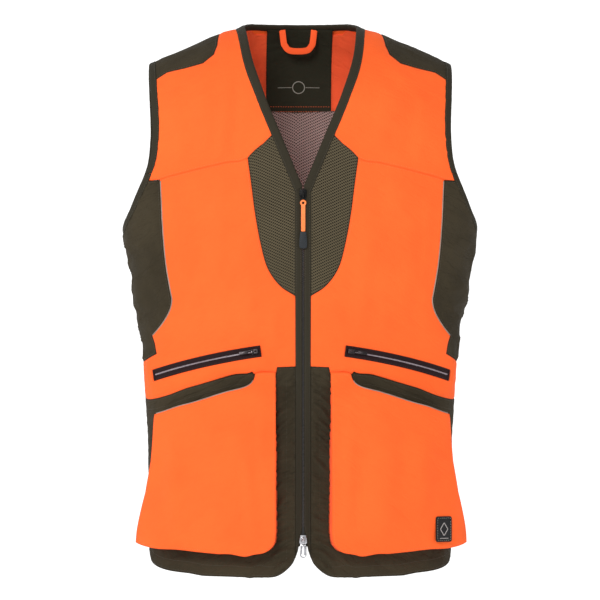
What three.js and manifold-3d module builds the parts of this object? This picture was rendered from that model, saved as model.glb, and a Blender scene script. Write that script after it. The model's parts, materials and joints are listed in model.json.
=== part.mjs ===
// A blaze orange hunting vest, size M, zipped up and filled out as if it were worn.
// Millimetres. +X is the wearer's left, -Y is the front, +Z is up. The origin is the middle of the
// line between the two side neck points, where the shoulders carry the vest.
//
// The cloth pieces are cut from curved layers: the torso's closed body, grown or shrunk by an offset,
// gives the outside and the inside of each layer, and outlines in the XZ plane cut the panels out.
// Outlines are drawn on the wearer's left (+X) and mirrored for the right.

import * as THREE from 'three';
import { mergeVertices } from 'three/addons/utils/BufferGeometryUtils.js';
import Module from 'manifold-3d';

const wasm = await Module();
wasm.setup();

// ---- driving dimensions ----
const GAP = 0.3; // between pieces that touch
const SWING_GAP = 1.2; // between pieces that swing apart across the chest seam
const SIDE_GAP = 2.5; // between a front panel and the side panel it swings away from
const CLOTH = 2.5; // shell cloth with its seam allowances and facing
const LINING = 1.2;
const BINDING_PROUD = 0.8; // how far bindings stand out of the cloth, on both faces
const BINDING_WIDTH = 9;

const HALF_CHEST = 231; // half width at the underarm
const UNDERARM_Z = -257;
const CHEST_DEPTH = 100; // centre front to the plane of the shoulder seams
const SECTION_POWER = 2.4; // level sections are superellipses of this power
const SHOULDER_ROUNDING = 110; // height over which chest and back round over to the shoulder line
const FRONT_HEM_Z = -709;
const BACK_HEM_Z = -668;
const BOTTOM_Z = -716; // below every hem
const REACH = 260; // beyond the vest on every side

const NECK_TOP_Z = 8; // top edge of the back neck binding
const NECK_HALF = 72.8;
const V_BOTTOM_Z = -206; // where the two neck bindings reach the zip
const BODICE_SEAM_Z = -430; // back seam between the orange and the olive panel
const FACING_Z = -105; // lower edge of the label panel and the back neck facing

const ZIP_HALF_GAP = 1.3; // half of the gap between the two zip facings
const ZIP_FACING = 8.5; // width of each zip facing
const FACING_END = ZIP_HALF_GAP + ZIP_FACING;
const ZIP_BOTTOM_Z = -667.5;
const PIPING = 2.5; // width of the piping beside the side panel
const CHEST_BREAK_Z = -165; // where the neck binding of the back ends and that of the front begins

// Half width of the torso at each height, [z, half width], rising.
const SIDE_LINE = [
  [BOTTOM_Z, 196], [-538, 197], [-476, 201], [-413, 205], [-351, 216], [-289, 225],
  [UNDERARM_Z, HALF_CHEST], [60, HALF_CHEST],
];
// Height of the shoulder line, [x, z], from the neck out.
const SHOULDER_LINE = [
  [0, 35], [62, 13], [79, 1], [99.5, -3.2], [123, -13], [147, -23.4], [173, -34], [196, -46], [REACH, -75],
];
// How far the front of a cargo pocket stands out of the cloth, [z, offset], rising.
const POCKET_RELIEF = [
  [BOTTOM_Z, 18], [-684, 23], [-650, 27], [-600, 26], [-520, 20], [-475, 15], [-440, 12], [60, 12],
];

// ---- colours ----
const ORANGE = { color: 0xff6a2b, roughness: 0.8, metalness: 0 };
const OLIVE = { color: 0x4b4434, roughness: 0.85, metalness: 0 };
const OLIVE_MESH = { color: 0x544b3c, roughness: 0.9, metalness: 0 };
const LINING_MESH = { color: 0x9c8078, roughness: 0.9, metalness: 0 };
const DARK_TAPE = { color: 0x1d1414, roughness: 0.7, metalness: 0 };
const REFLECTIVE = { color: 0xa39c96, roughness: 0.4, metalness: 0.1 };
const COIL = { color: 0x9d8f95, roughness: 0.45, metalness: 0.2 };
const CHAIN = { color: 0x1a1818, roughness: 0.4, metalness: 0 };
const BLACK_METAL = { color: 0x101010, roughness: 0.4, metalness: 0.6 };
const SILVER = { color: 0xb9b9bb, roughness: 0.3, metalness: 1 };
const GREY_RUBBER = { color: 0x2c3236, roughness: 0.6, metalness: 0 };
const BLACK_RUBBER = { color: 0x1b1a1c, roughness: 0.6, metalness: 0 };

// ---- small helpers ----

// The value at a place in a table of [place, value] rows, rising, with straight lines between them.
function along(table, place) {
  const next = Math.max(1, table.findIndex(([key]) => key >= place));
  const [from, low] = table[next - 1];
  const [to, high] = table[next];
  return low + ((high - low) * (place - from)) / (to - from);
}

const mirror = (outline) => outline.map(([x, z]) => [-x, z]);

// A smooth line through points, as a list of points.
function smooth(points, pieces) {
  const curve = new THREE.SplineCurve(points.map(([x, z]) => new THREE.Vector2(x, z)));
  return curve.getPoints(pieces).map((point) => [point.x, point.y]);
}

// A closed outline moved outwards by a distance, or inwards by a negative one.
function grow(outline, distance) {
  const corners = outline.map(([x, z]) => new THREE.Vector2(x, z));
  const turn = Math.sign(THREE.ShapeUtils.area(corners));
  const outward = (from, to) => {
    const way = to.clone().sub(from).normalize();
    return new THREE.Vector2(way.y * turn, -way.x * turn);
  };
  return corners.map((corner, i) => {
    const before = outward(corners.at(i - 1), corner);
    const after = outward(corner, corners[(i + 1) % corners.length]);
    const sharpness = Math.max(0.4, 1 + before.dot(after));
    return corner.clone().addScaledVector(before.add(after), distance / sharpness).toArray();
  });
}

// A closed geometry as a solid for cutting and joining.
function solid(geometry) {
  const plain = new THREE.BufferGeometry();
  plain.setAttribute('position', geometry.getAttribute('position'));
  plain.setIndex(geometry.getIndex());
  const merged = mergeVertices(plain, 1e-4);
  const corners = merged.getIndex().array;
  const triVerts = [];
  for (let i = 0; i < corners.length; i += 3) {
    const [a, b, c] = corners.slice(i, i + 3);
    if (a !== b && b !== c && c !== a) triVerts.push(a, b, c);
  }
  const mesh = new wasm.Mesh({
    numProp: 3,
    vertProperties: new Float32Array(merged.getAttribute('position').array),
    triVerts: new Uint32Array(triVerts),
  });
  return new wasm.Manifold(mesh);
}

// A solid back as a geometry.
function geometryOf(body) {
  const mesh = body.getMesh();
  const geometry = new THREE.BufferGeometry();
  geometry.setAttribute('position', new THREE.BufferAttribute(new Float32Array(mesh.vertProperties), 3));
  geometry.setIndex(new THREE.BufferAttribute(new Uint32Array(mesh.triVerts), 1));
  geometry.computeVertexNormals();
  return geometry;
}

function extruded(shape, depth, curveSegments) {
  return new THREE.ExtrudeGeometry(shape, { depth, curveSegments, bevelEnabled: false });
}

function box(width, depth, height, x, y, z) {
  return new THREE.BoxGeometry(width, depth, height).translate(x, y, z);
}

const vest = new THREE.Group();

function add(name, shape, finish) {
  const geometry = shape instanceof THREE.BufferGeometry ? shape : geometryOf(shape);
  const mesh = new THREE.Mesh(geometry, new THREE.MeshStandardMaterial(finish));
  mesh.name = name;
  vest.add(mesh);
  return mesh;
}

// ---- the torso and its layers ----

const COLUMNS = 18;
const ROUNDING_ROWS = 3;
const LEVELS = [UNDERARM_Z, -351, -413, -476, -520, -600, -650, -684, BOTTOM_Z];

// The heights of one column of the torso's surface, from the shoulder line down.
function columnHeights(across, offset) {
  const top = along(SHOULDER_LINE, Math.abs(across) * HALF_CHEST);
  const heights = [];
  for (let row = 0; row <= ROUNDING_ROWS; row += 1) {
    const turn = (row / ROUNDING_ROWS) * (Math.PI / 2);
    const drop = (1 - Math.cos(turn)) * (SHOULDER_ROUNDING + offset);
    heights.push({ z: top + offset - drop, rounding: Math.sin(turn) });
  }
  const below = top - SHOULDER_ROUNDING;
  heights.push({ z: (below + UNDERARM_Z) / 2, rounding: 1 });
  LEVELS.forEach((z) => heights.push({ z, rounding: 1 }));
  return heights;
}

// The closed body of the torso, grown by an offset, which is a number or a table of [z, offset].
function torso(offset) {
  const offsetAt = (z) => (Array.isArray(offset) ? along(offset, z) : offset);
  const positions = [];
  const rows = columnHeights(0, 0).length;
  for (const side of [-1, 1]) {
    for (let column = 0; column <= COLUMNS; column += 1) {
      const across = Math.sin((column / COLUMNS - 0.5) * Math.PI);
      const bulge = (1 - Math.abs(across) ** SECTION_POWER) ** (1 / SECTION_POWER);
      columnHeights(across, offsetAt(0)).forEach(({ z, rounding }) => {
        const x = across * (along(SIDE_LINE, z) + offsetAt(z));
        const y = side * (CHEST_DEPTH + offsetAt(z)) * bulge * rounding;
        positions.push(x, Math.abs(y) < 1e-6 ? 0 : y, z);
      });
    }
  }
  const at = (side, column, row) => (side * (COLUMNS + 1) + column) * rows + row;
  const index = [];
  for (let column = 0; column < COLUMNS; column += 1) {
    for (let row = 0; row < rows - 1; row += 1) {
      for (const side of [0, 1]) {
        const upper = [at(side, column, row), at(side, column + 1, row)];
        const lower = [at(side, column + 1, row + 1), at(side, column, row + 1)];
        const [a, b, c, d] = side === 0 ? [...upper, ...lower].reverse() : [...upper, ...lower];
        index.push(a, b, c, a, c, d);
      }
    }
    const last = rows - 1;
    index.push(at(0, column, last), at(1, column, last), at(1, column + 1, last));
    index.push(at(0, column, last), at(1, column + 1, last), at(0, column + 1, last));
  }
  const geometry = new THREE.BufferGeometry();
  geometry.setAttribute('position', new THREE.BufferAttribute(new Float32Array(positions), 3));
  geometry.setIndex(index);
  return solid(geometry);
}

const shifted = (table, by) => table.map(([z, offset]) => [z, offset + by]);
const layer = (outside, inside) => torso(outside).subtract(torso(inside));

const shell = layer(0, -CLOTH);
const bindingLayer = layer(BINDING_PROUD, -CLOTH - BINDING_PROUD);
const liningLayer = layer(-CLOTH - GAP, -CLOTH - GAP - LINING);

// An outline in XZ as a block that reaches from one y to another.
function block(outline, fromY, toY) {
  const shape = new THREE.Shape(outline.map(([x, z]) => new THREE.Vector2(x, z)));
  const geometry = extruded(shape, toY - fromY, 1);
  geometry.rotateX(Math.PI / 2); // the outline stands up in XZ and its depth runs towards -Y
  geometry.translate(0, toY, 0);
  return solid(geometry);
}
const front = (outline, edge = -GAP / 2) => block(outline, -REACH, edge);
const back = (outline, edge = GAP / 2) => block(outline, edge, REACH);
const through = (outline) => block(outline, -REACH, REACH);

const rectangle = (x0, x1, z0, z1) => [[x0, z0], [x1, z0], [x1, z1], [x0, z1]];

// ---- outlines on the wearer's left, drawn in XZ ----

// The armhole, open towards the outside.
const ARMHOLE_CURVE = [
  [196, -60], [194.5, -90], [193, -120], [193.5, -148], [198, -179], [212, -213], [234, -261],
];
const ARMHOLE = [[196, 60], [196, -40], ...smooth(ARMHOLE_CURVE, 14), [REACH, -261], [REACH, 60]];
const ARMHOLE_BAND = grow(ARMHOLE, BINDING_WIDTH);
const ARMHOLE_BAND_GROWN = grow(ARMHOLE_BAND, GAP);

// The front neck hole, a V that ends at the zip, and the back neck hole above the neck binding.
const NECK_EDGE = smooth([[0, V_BOTTOM_Z - 2], [50.7, -86], [66.3, -39], [NECK_HALF, -3]], 9);
const NECK_EDGE_BACK = mirror(NECK_EDGE).reverse().slice(0, -1);
const NECK_HOLE = [...NECK_EDGE, [NECK_HALF, 60], [-NECK_HALF, 60], ...NECK_EDGE_BACK];
const NECK_BAND = grow(NECK_HOLE, BINDING_WIDTH);
const BACK_NECK_BAND = rectangle(-NECK_HALF - BINDING_WIDTH, NECK_HALF + BINDING_WIDTH, -2, 60);

// The shoulder patch, the same on the front and the back.
const SHOULDER_PATCH = [
  [104, 60], [106.5, -9],
  ...smooth([[109, -22], [113.8, -34], [128, -45.5]], 6),
  [174, -57], [192, -68], [REACH, -68], [REACH, 60],
];

// The seam across the chest, from the mesh panel to the armhole.
const CHEST_SEAM = [[71, -167], [141, -184], [184, -195], [REACH, -198]];
const ABOVE_SEAM = [[0, 60], [0, -140], [20, -140], ...CHEST_SEAM, [REACH, 60]];

const MESH_PANEL = [
  [10, -114], [25, -127], [71.5, -168.3],
  ...smooth([[66.5, -205], [62, -240], [55, -278], [46, -310], [30, -333], [4, -350]], 10),
  [4, -120],
];

// The side panel, from the armhole down to the waist, with the hooked lower end of its front seam.
const SIDE_SEAM = smooth([
  [184, -197], [181, -258], [177, -304], [171, -340],
  [169, -353], [172.5, -367], [182, -383], [193.5, -397],
], 16);
const SIDE_PANEL = [...SIDE_SEAM, [190, -408], [188, -421], [REACH, -432], [REACH, -197]];

const PIPING_LENGTH = [[140, -197.5], [REACH, -197.5], [REACH, -380], [191, -396], [140, -410]];

// The lower edge of the orange front, which is the back of the cargo pocket's mouth.
const MOUTH_Z = -437;
const MOUTH_SEAM = [[34, -443], [64, -445], [200, -477], [REACH, -491]];

const ZIP_FOOT = [[6.5, -674], [ZIP_HALF_GAP, -646]]; // where the hem rounds up into the zip
const FRONT_HEM = [
  [REACH, -674], [197, -675], [194, -690], [165, -702], [130, -707],
  ...smooth([[45, FRONT_HEM_Z], [29, -705], [15, -693], ...ZIP_FOOT], 10),
];

const CARGO_TOP = [[36, -446], [63, -447.5], [67, -455], [77, -463], [191, -499]];
const CARGO_REST = [
  [192, -505], [196, -560], [203, -600], [213, -666], [210, -672], [135, -682], [95, -684],
  ...smooth([[60, -681], [43, -672], [36, -655]], 5),
];
const CARGO = [...CARGO_TOP, ...CARGO_REST];
// The pocket's mouth: everything above its top edge.
const CARGO_MOUTH = [
  [39, -420], [39, -452], [60, -453], [64, -461], [75, -470], [187, -506], [REACH, -528], [REACH, -420],
];

const BAG = [[52, -412], [120, -421], [165, -434], [181, -446], [178, -560], [60, -560]];
const FRONT_LINING = [[25, -350], [150, -352], [150, -432], [165, -440], [165, -690], [25, -695]];

// ---- the pocket zip's arc ----

const WELT_HEIGHT = 14;
const WELT_OUT = 1; // the welt's face outside the arc, and its back inside it
const WELT_IN = 3.5;
// Three points of the welt's middle line on the curved front: inner end, middle, outer end.
const WELT_POINTS = [[54.6, -98.2, -417.3], [127.4, -85.1, -430.8], [191, -45.5, -449]];

// The circle through three points: centre, axis, radius, and the angle that it spans from first to last.
function arcThrough(points) {
  const [a, b, c] = points.map((point) => new THREE.Vector3(...point));
  const ab = b.clone().sub(a);
  const ac = c.clone().sub(a);
  const axis = ab.clone().cross(ac).normalize();
  const toCentre = axis.clone().cross(ab).multiplyScalar(ac.lengthSq());
  toCentre.sub(axis.clone().cross(ac).multiplyScalar(ab.lengthSq()));
  const centre = a.clone().addScaledVector(toCentre, 1 / (2 * ab.clone().cross(ac).length()));
  const start = a.clone().sub(centre);
  return { centre, axis, radius: start.length(), span: start.angleTo(c.clone().sub(centre)), start };
}

const ARC = arcThrough(WELT_POINTS);

// The arc's own frame as a matrix: Z is its axis and X points at its first end.
function arcFrame(flip) {
  const alongX = ARC.start.clone().normalize();
  const frame = new THREE.Matrix4().makeBasis(alongX, ARC.axis.clone().cross(alongX), ARC.axis);
  frame.setPosition(ARC.centre);
  return flip ? new THREE.Matrix4().makeScale(-1, 1, 1).multiply(frame) : frame;
}

// A strip that follows the arc, between two distances outside it, with a height along the axis.
function arcStrip(inner, outer, height, fromAngle, toAngle, mirrored) {
  const shape = new THREE.Shape();
  shape.absarc(0, 0, ARC.radius + outer, fromAngle, toAngle, false);
  shape.absarc(0, 0, ARC.radius + inner, toAngle, fromAngle, true);
  const geometry = extruded(shape, height, 10);
  geometry.translate(0, 0, -height / 2);
  return solid(placed(geometry, arcFrame(mirrored)));
}

// A geometry moved by a matrix. A mirroring matrix turns the faces inside out, so they are turned back.
function placed(geometry, matrix) {
  const moved = geometry.clone().applyMatrix4(matrix);
  if (matrix.determinant() > 0) return moved;
  const flat = moved.index ? moved.toNonIndexed() : moved;
  const points = flat.getAttribute('position');
  for (let i = 0; i < points.count; i += 3) {
    const second = new THREE.Vector3().fromBufferAttribute(points, i + 1);
    const third = new THREE.Vector3().fromBufferAttribute(points, i + 2);
    points.setXYZ(i + 1, third.x, third.y, third.z);
    points.setXYZ(i + 2, second.x, second.y, second.z);
  }
  return flat;
}

// Where the outer wall of a cargo pocket stands: from the cloth near the side out to the pocket's edge.
const SIDE_WALL = { x: 200, y: -45, z: -600, turn: -0.3, thickness: 3 };

function sideWallFrame(flip) {
  const frame = new THREE.Matrix4().makeRotationZ(SIDE_WALL.turn);
  frame.setPosition(SIDE_WALL.x, SIDE_WALL.y, SIDE_WALL.z);
  return flip ? new THREE.Matrix4().makeScale(-1, 1, 1).multiply(frame) : frame;
}

// ---- cloth pieces ----

// Pieces that wrap round the back and stay with it.
function makeBack() {
  const onBothSides = (outline) => through(outline).add(through(mirror(outline)));
  const armholes = onBothSides(ARMHOLE_BAND_GROWN);
  const patches = onBothSides(grow(SHOULDER_PATCH, GAP));
  const sides = onBothSides(grow(SIDE_PANEL, GAP));
  const neck = through(grow(BACK_NECK_BAND, GAP));

  const upper = shell.intersect(back(rectangle(-REACH, REACH, BODICE_SEAM_Z, 60)));
  const belowYokes = upper.subtract(armholes).subtract(patches).subtract(neck);
  add('back_panel_upper', belowYokes.subtract(sides), ORANGE);
  const lower = shell.intersect(back(rectangle(-REACH, REACH, BACK_HEM_Z, BODICE_SEAM_Z - GAP)));
  add('back_panel_lower', lower.subtract(sides), OLIVE);

  const ring = front(NECK_BAND, 0).subtract(front(NECK_HOLE, 1));
  const napeHalf = NECK_HALF + BINDING_WIDTH - 0.5;
  const nape = back(rectangle(-napeHalf, napeHalf, -2, NECK_TOP_Z), -0.4);
  const aboveChest = through(rectangle(-REACH, REACH, CHEST_BREAK_Z, 60));
  add('neck_binding', bindingLayer.intersect(ring.add(nape)).intersect(aboveChest), OLIVE);

  const facing = liningLayer.intersect(back(rectangle(-118, 118, FACING_Z, -2 - GAP)));
  add('back_neck_facing', facing.subtract(armholes), ORANGE);
  const lining = liningLayer.intersect(back(rectangle(-REACH, REACH, -650, FACING_Z - GAP), 12));
  add('back_lining', lining.subtract(armholes), LINING_MESH);
  const labelLayer = layer(-CLOTH - 2 * GAP - LINING, -CLOTH - 2 * GAP - 2 * LINING);
  add('label_panel', labelLayer.intersect(back(rectangle(-42, 42, FACING_Z - 2, -6))), OLIVE);
}

// The hanger loop: a U of tape that hangs inside the back neck.
function makeHangerLoop() {
  const TAPE = 9.5;
  const LEG_X = 18.5;
  const PLANE_Y = 57;
  const TOP_Z = -3;
  const BEND_Z = -13;
  const THICKNESS = 1.4;
  const shape = new THREE.Shape();
  shape.moveTo(LEG_X + TAPE / 2, TOP_Z);
  shape.lineTo(LEG_X - TAPE / 2, TOP_Z);
  shape.lineTo(LEG_X - TAPE / 2, BEND_Z);
  shape.absarc(0, BEND_Z, LEG_X - TAPE / 2, 0, Math.PI, true);
  shape.lineTo(-LEG_X + TAPE / 2, TOP_Z);
  shape.lineTo(-LEG_X - TAPE / 2, TOP_Z);
  shape.lineTo(-LEG_X - TAPE / 2, BEND_Z);
  shape.absarc(0, BEND_Z, LEG_X + TAPE / 2, Math.PI, 2 * Math.PI, false);
  const geometry = extruded(shape, THICKNESS, 8);
  geometry.rotateX(Math.PI / 2);
  geometry.translate(0, PLANE_Y + THICKNESS / 2, 0);
  add('hanger_loop', geometry, ORANGE);
}

// What cuts the pieces of one side. The wearer's right is the mirror image of the left.
function cuttersOf(side) {
  const flip = side === 'right';
  const turned = (outline) => (flip ? mirror(outline) : outline);
  const onFront = (outline, edge) => front(turned(outline), edge);
  const onBoth = (outline) => through(turned(outline));
  const beyondFacing = onFront(rectangle(FACING_END + GAP, REACH, BOTTOM_Z, 60), -1.5);
  const neckBand = front(grow(NECK_BAND, GAP), 0);
  return { flip, onFront, onBoth, beyondFacing, neckBand };
}

// The pieces of the shoulder, which stay with the back.
function makeShoulder(side) {
  const { onFront, onBoth, neckBand } = cuttersOf(side);
  const armhole = onBoth(ARMHOLE_BAND_GROWN);
  const band = bindingLayer.intersect(onBoth(ARMHOLE_BAND).subtract(onBoth(ARMHOLE)));
  add(`armhole_binding_${side}`, band, OLIVE);
  const patch = shell.intersect(onBoth(SHOULDER_PATCH)).subtract(armhole);
  add(`shoulder_patch_${side}`, patch, OLIVE);
  const yoke = shell.intersect(onFront(ABOVE_SEAM)).subtract(armhole)
    .subtract(onFront(grow(SHOULDER_PATCH, GAP), 0))
    .subtract(neckBand)
    .subtract(onFront(grow(MESH_PANEL, SWING_GAP), 0));
  add(`yoke_${side}`, yoke, ORANGE);
  add(`side_panel_${side}`, shell.intersect(onBoth(SIDE_PANEL)).subtract(armhole), OLIVE);
}

// The front that swings open: its panels, the piping beside the side panel and the zip facing.
function makeFront(side) {
  const { flip, onFront, onBoth, beyondFacing, neckBand } = cuttersOf(side);
  const seamGap = CHEST_SEAM.map(([x, z]) => [x, z - SWING_GAP]);
  const below = [[9, -150], ...seamGap, ...[...MOUTH_SEAM].reverse(), [9, MOUTH_Z]];
  const endGap = GAP / ARC.radius;
  const weltHole = arcStrip(-14, 14, WELT_HEIGHT + 2 * GAP, -endGap, ARC.span + endGap, flip);
  const panel = shell.intersect(onFront(below)).intersect(beyondFacing)
    .subtract(onFront(grow(MESH_PANEL, GAP), 0))
    .subtract(onFront(grow(SIDE_PANEL, SIDE_GAP + PIPING + GAP), 0))
    .subtract(weltHole);
  add(`front_panel_${side}`, panel, ORANGE);

  const outside = onFront(grow(SIDE_PANEL, SIDE_GAP + PIPING), -1.5);
  const pipingZone = outside.subtract(onFront(grow(SIDE_PANEL, SIDE_GAP), 0));
  const pipingLength = onBoth(PIPING_LENGTH);
  const piping = layer(0.6, -1.6).intersect(pipingZone).intersect(pipingLength);
  add(`side_piping_${side}`, piping, REFLECTIVE);
  const mesh = shell.intersect(onFront(MESH_PANEL)).intersect(beyondFacing).subtract(neckBand);
  add(`mesh_panel_${side}`, mesh, OLIVE_MESH);
  const mouth = [[9, MOUTH_Z], ...MOUTH_SEAM].map(([x, z]) => [x, z - GAP]);
  const base = shell.intersect(onFront([...mouth, ...FRONT_HEM])).intersect(beyondFacing);
  add(`base_panel_${side}`, base, OLIVE);

  const facingTop = V_BOTTOM_Z - GAP;
  const facing = [[ZIP_HALF_GAP, facingTop], [FACING_END, facingTop], [FACING_END, -684], ...ZIP_FOOT];
  add(`zip_facing_${side}`, shell.intersect(onFront(facing)), OLIVE);
  const lapel = onFront(rectangle(ZIP_HALF_GAP, REACH, V_BOTTOM_Z, CHEST_BREAK_Z - SWING_GAP));
  const band = bindingLayer.intersect(front(NECK_BAND, 0).subtract(front(NECK_HOLE, 1)));
  add(`neck_binding_front_${side}`, band.intersect(lapel), OLIVE);
}

// The tape and the teeth of one half of the main zip, behind the facing.
function makeZipHalf(side) {
  const { onFront } = cuttersOf(side);
  const zipTop = V_BOTTOM_Z - 3;
  const tape = rectangle(3.6, 20, ZIP_BOTTOM_Z, zipTop);
  add(`zip_tape_${side}`, layer(-3.4, -4.4).intersect(onFront(tape)), DARK_TAPE);
  const teeth = rectangle(1.1, 3.3, ZIP_BOTTOM_Z, zipTop);
  add(`zip_teeth_${side}`, layer(-2.9, -4.9).intersect(onFront(teeth)), CHAIN);
}

// The welt, the teeth and the bag of a zipped pocket, and the mesh lining behind it.
function makeZippedPocket(side) {
  const { flip, onFront } = cuttersOf(side);
  add(`welt_${side}`, arcStrip(-WELT_IN, WELT_OUT, WELT_HEIGHT, 0, ARC.span, flip), DARK_TAPE);
  const endMargin = 5 / ARC.radius;
  add(`pocket_teeth_${side}`, arcStrip(1.3, 2.3, 3.4, endMargin, ARC.span - endMargin, flip), COIL);
  const bagSpace = grow(BAG, -LINING).map(([x, z]) => [x, z > -460 ? z + 6 : z]); // open at the top
  const bagOutside = layer(-8, -15).intersect(onFront(BAG));
  const bagInside = layer(-8 - LINING, -15 + LINING).intersect(onFront(bagSpace));
  add(`pocket_bag_${side}`, bagOutside.subtract(bagInside), DARK_TAPE);
  const lining = layer(-16.5, -16.5 - LINING).intersect(onFront(FRONT_LINING));
  add(`front_lining_${side}`, lining, LINING_MESH);
}

// A bellows pocket: its front, the piping along its top edge, and the gusset round its other edges.
function makeCargoPocket(side) {
  const { flip, onFront } = cuttersOf(side);
  const pocketFront = torso(POCKET_RELIEF).subtract(torso(shifted(POCKET_RELIEF, -CLOTH)));
  add(`cargo_panel_${side}`, pocketFront.intersect(onFront(CARGO)), ORANGE);
  const pipingTop = CARGO_TOP.map(([x, z]) => [x, z + 2.4 + GAP]);
  const pipingFoot = CARGO_TOP.map(([x, z]) => [x, z + GAP]).reverse();
  const pipingLayer = torso(shifted(POCKET_RELIEF, 0.4)).subtract(torso(shifted(POCKET_RELIEF, -CLOTH)));
  add(`cargo_piping_${side}`, pipingLayer.intersect(onFront([...pipingTop, ...pipingFoot])), REFLECTIVE);

  const room = torso(shifted(POCKET_RELIEF, -CLOTH - 1)).subtract(torso(GAP)).intersect(onFront(CARGO));
  const sideWall = placed(box(40, SIDE_WALL.thickness, 300, 0, 0, 0), sideWallFrame(flip));
  const behind = placed(box(80, 60, 400, 0, 30 + SIDE_WALL.thickness / 2, 0), sideWallFrame(flip));
  const wall = room.subtract(onFront(grow(CARGO, -SIDE_WALL.thickness)))
    .subtract(solid(behind))
    .add(room.intersect(solid(sideWall)));
  add(`cargo_gusset_${side}`, wall.subtract(onFront(CARGO_MOUTH)), ORANGE);
}

// ---- zip hardware ----

// A tube section bent into a rectangular bridge, which holds the pull: x is its width.
function bridge(width, reach, length, wall, y, z) {
  const outer = box(width, reach, length, 0, y - reach / 2, z);
  const window = box(width + 2, reach - wall, length - 2 * wall, 0, y - (reach - wall) / 2 + 0.01, z);
  return solid(outer).subtract(solid(window));
}

// A slider seen from the front: a shield, wide at its shoulders, extruded towards the front.
function sliderPlate(halfWidth, tailHalf, length, thickness, frontY, z) {
  const shape = new THREE.Shape();
  const top = length / 2;
  shape.moveTo(-halfWidth * 0.7, top);
  shape.quadraticCurveTo(-halfWidth, top, -halfWidth, top * 0.5);
  shape.lineTo(-tailHalf, -top);
  shape.lineTo(tailHalf, -top);
  shape.lineTo(halfWidth, top * 0.5);
  shape.quadraticCurveTo(halfWidth, top, halfWidth * 0.7, top);
  const geometry = extruded(shape, thickness, 4);
  geometry.rotateX(Math.PI / 2);
  return geometry.translate(0, frontY + thickness, z);
}

const PLATE_FRONT = -CHEST_DEPTH - 2; // front face of a slider's top plate
const PULL_Y = PLATE_FRONT - 0.9; // the pull's bar, in the middle of the bridge's window
const PULL_BAR = 0.6; // radius of the bar

// A slider of the main zip: the top plate over the facings, the post between the two rows of teeth,
// the back plate behind them and the bridge for the pull. A flipped one has its nose down.
function mainSlider(name, z, length, flipped, finish) {
  const plate = solid(sliderPlate(5, 3.6, length, 1.6, PLATE_FRONT, 0));
  const backPlate = solid(sliderPlate(3, 2.6, length - 2, 1.2, -CHEST_DEPTH + 5.3, 0));
  const post = solid(box(1.6, 7.2, length - 4, 0, -CHEST_DEPTH + 2.1, 0));
  const body = plate.add(backPlate).add(post);
  const whole = body.add(bridge(2, 3.2, 8, 1.5, PLATE_FRONT + 0.02, 0));
  const mesh = add(name, whole, finish);
  mesh.position.set(0, 0, z);
  if (flipped) {
    mesh.geometry = geometryOf(whole.mirror([0, 0, 1]));
  }
}

// The frame of a pull: a round bar through the bridge and two legs down to a strip.
function pullFrame(z, legLength, halfWidth, thickness) {
  const bar = new THREE.CylinderGeometry(PULL_BAR, PULL_BAR, 2 * halfWidth, 12).rotateZ(Math.PI / 2);
  bar.translate(0, PULL_Y, z);
  const inner = 1.5; // half of the gap between the legs
  const middle = (halfWidth + inner) / 2;
  const legZ = z - legLength / 2;
  const leg = (side) => solid(box(halfWidth - inner, thickness, legLength, side * middle, PULL_Y, legZ));
  return solid(bar).add(leg(-1)).add(leg(1));
}

const MAIN_SLIDER_Z = -216;
const BOTTOM_SLIDER_Z = -660;

function makeMainZip() {
  mainSlider('main_slider', MAIN_SLIDER_Z, 14, false, BLACK_METAL);
  const cordTop = MAIN_SLIDER_Z - 5.4;
  const cord = pullFrame(MAIN_SLIDER_Z, 6, 3, 1.2);
  const strip = solid(box(6, 1.8, 42, 0, PULL_Y - 0.2, cordTop - 21));
  add('main_pull_cord', cord.add(strip), ORANGE);
  const tip = new THREE.Shape();
  tip.moveTo(-4, 0);
  tip.lineTo(4, 0);
  tip.quadraticCurveTo(5.2, -10, 5.2, -19);
  tip.quadraticCurveTo(0, -23, -5.2, -19);
  tip.quadraticCurveTo(-5.2, -10, -4, 0);
  const tipGeometry = extruded(tip, 3.2, 5);
  tipGeometry.rotateX(Math.PI / 2);
  add('main_pull_tip', tipGeometry, GREY_RUBBER).position.set(0, PULL_Y + 1.4, cordTop - 42 - GAP);

  mainSlider('bottom_slider', BOTTOM_SLIDER_Z, 12, true, SILVER);
  const plate = new THREE.Shape();
  plate.moveTo(-3, 0);
  plate.lineTo(3, 0);
  plate.lineTo(4.6, -14);
  plate.absarc(0, -14, 4.6, 0, Math.PI, true);
  plate.lineTo(-3, 0);
  const hole = new THREE.Path();
  hole.absarc(0, -13.5, 3, 0, 2 * Math.PI, false);
  plate.holes.push(hole);
  const pullPlate = extruded(plate, 1.2, 8);
  pullPlate.rotateX(Math.PI / 2);
  pullPlate.translate(0, PULL_Y + 0.6, BOTTOM_SLIDER_Z - 5);
  add('bottom_pull', pullFrame(BOTTOM_SLIDER_Z, 6, 3, 1.2).add(solid(pullPlate)), SILVER);

  add('insertion_pin', box(2.2, 2, 11, -2.2, -CHEST_DEPTH + 3.9, ZIP_BOTTOM_Z - 6), SILVER);
  add('retainer_box', box(3.4, 3, 12, 2.8, -CHEST_DEPTH + 3.9, ZIP_BOTTOM_Z - 6.4), SILVER);
}

const POCKET_SLIDER = 8; // where the slider stands, along the arc from its inner end
const POCKET_BAR = { out: 5, along: 1.5 }; // the bar that its pull turns on

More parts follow.
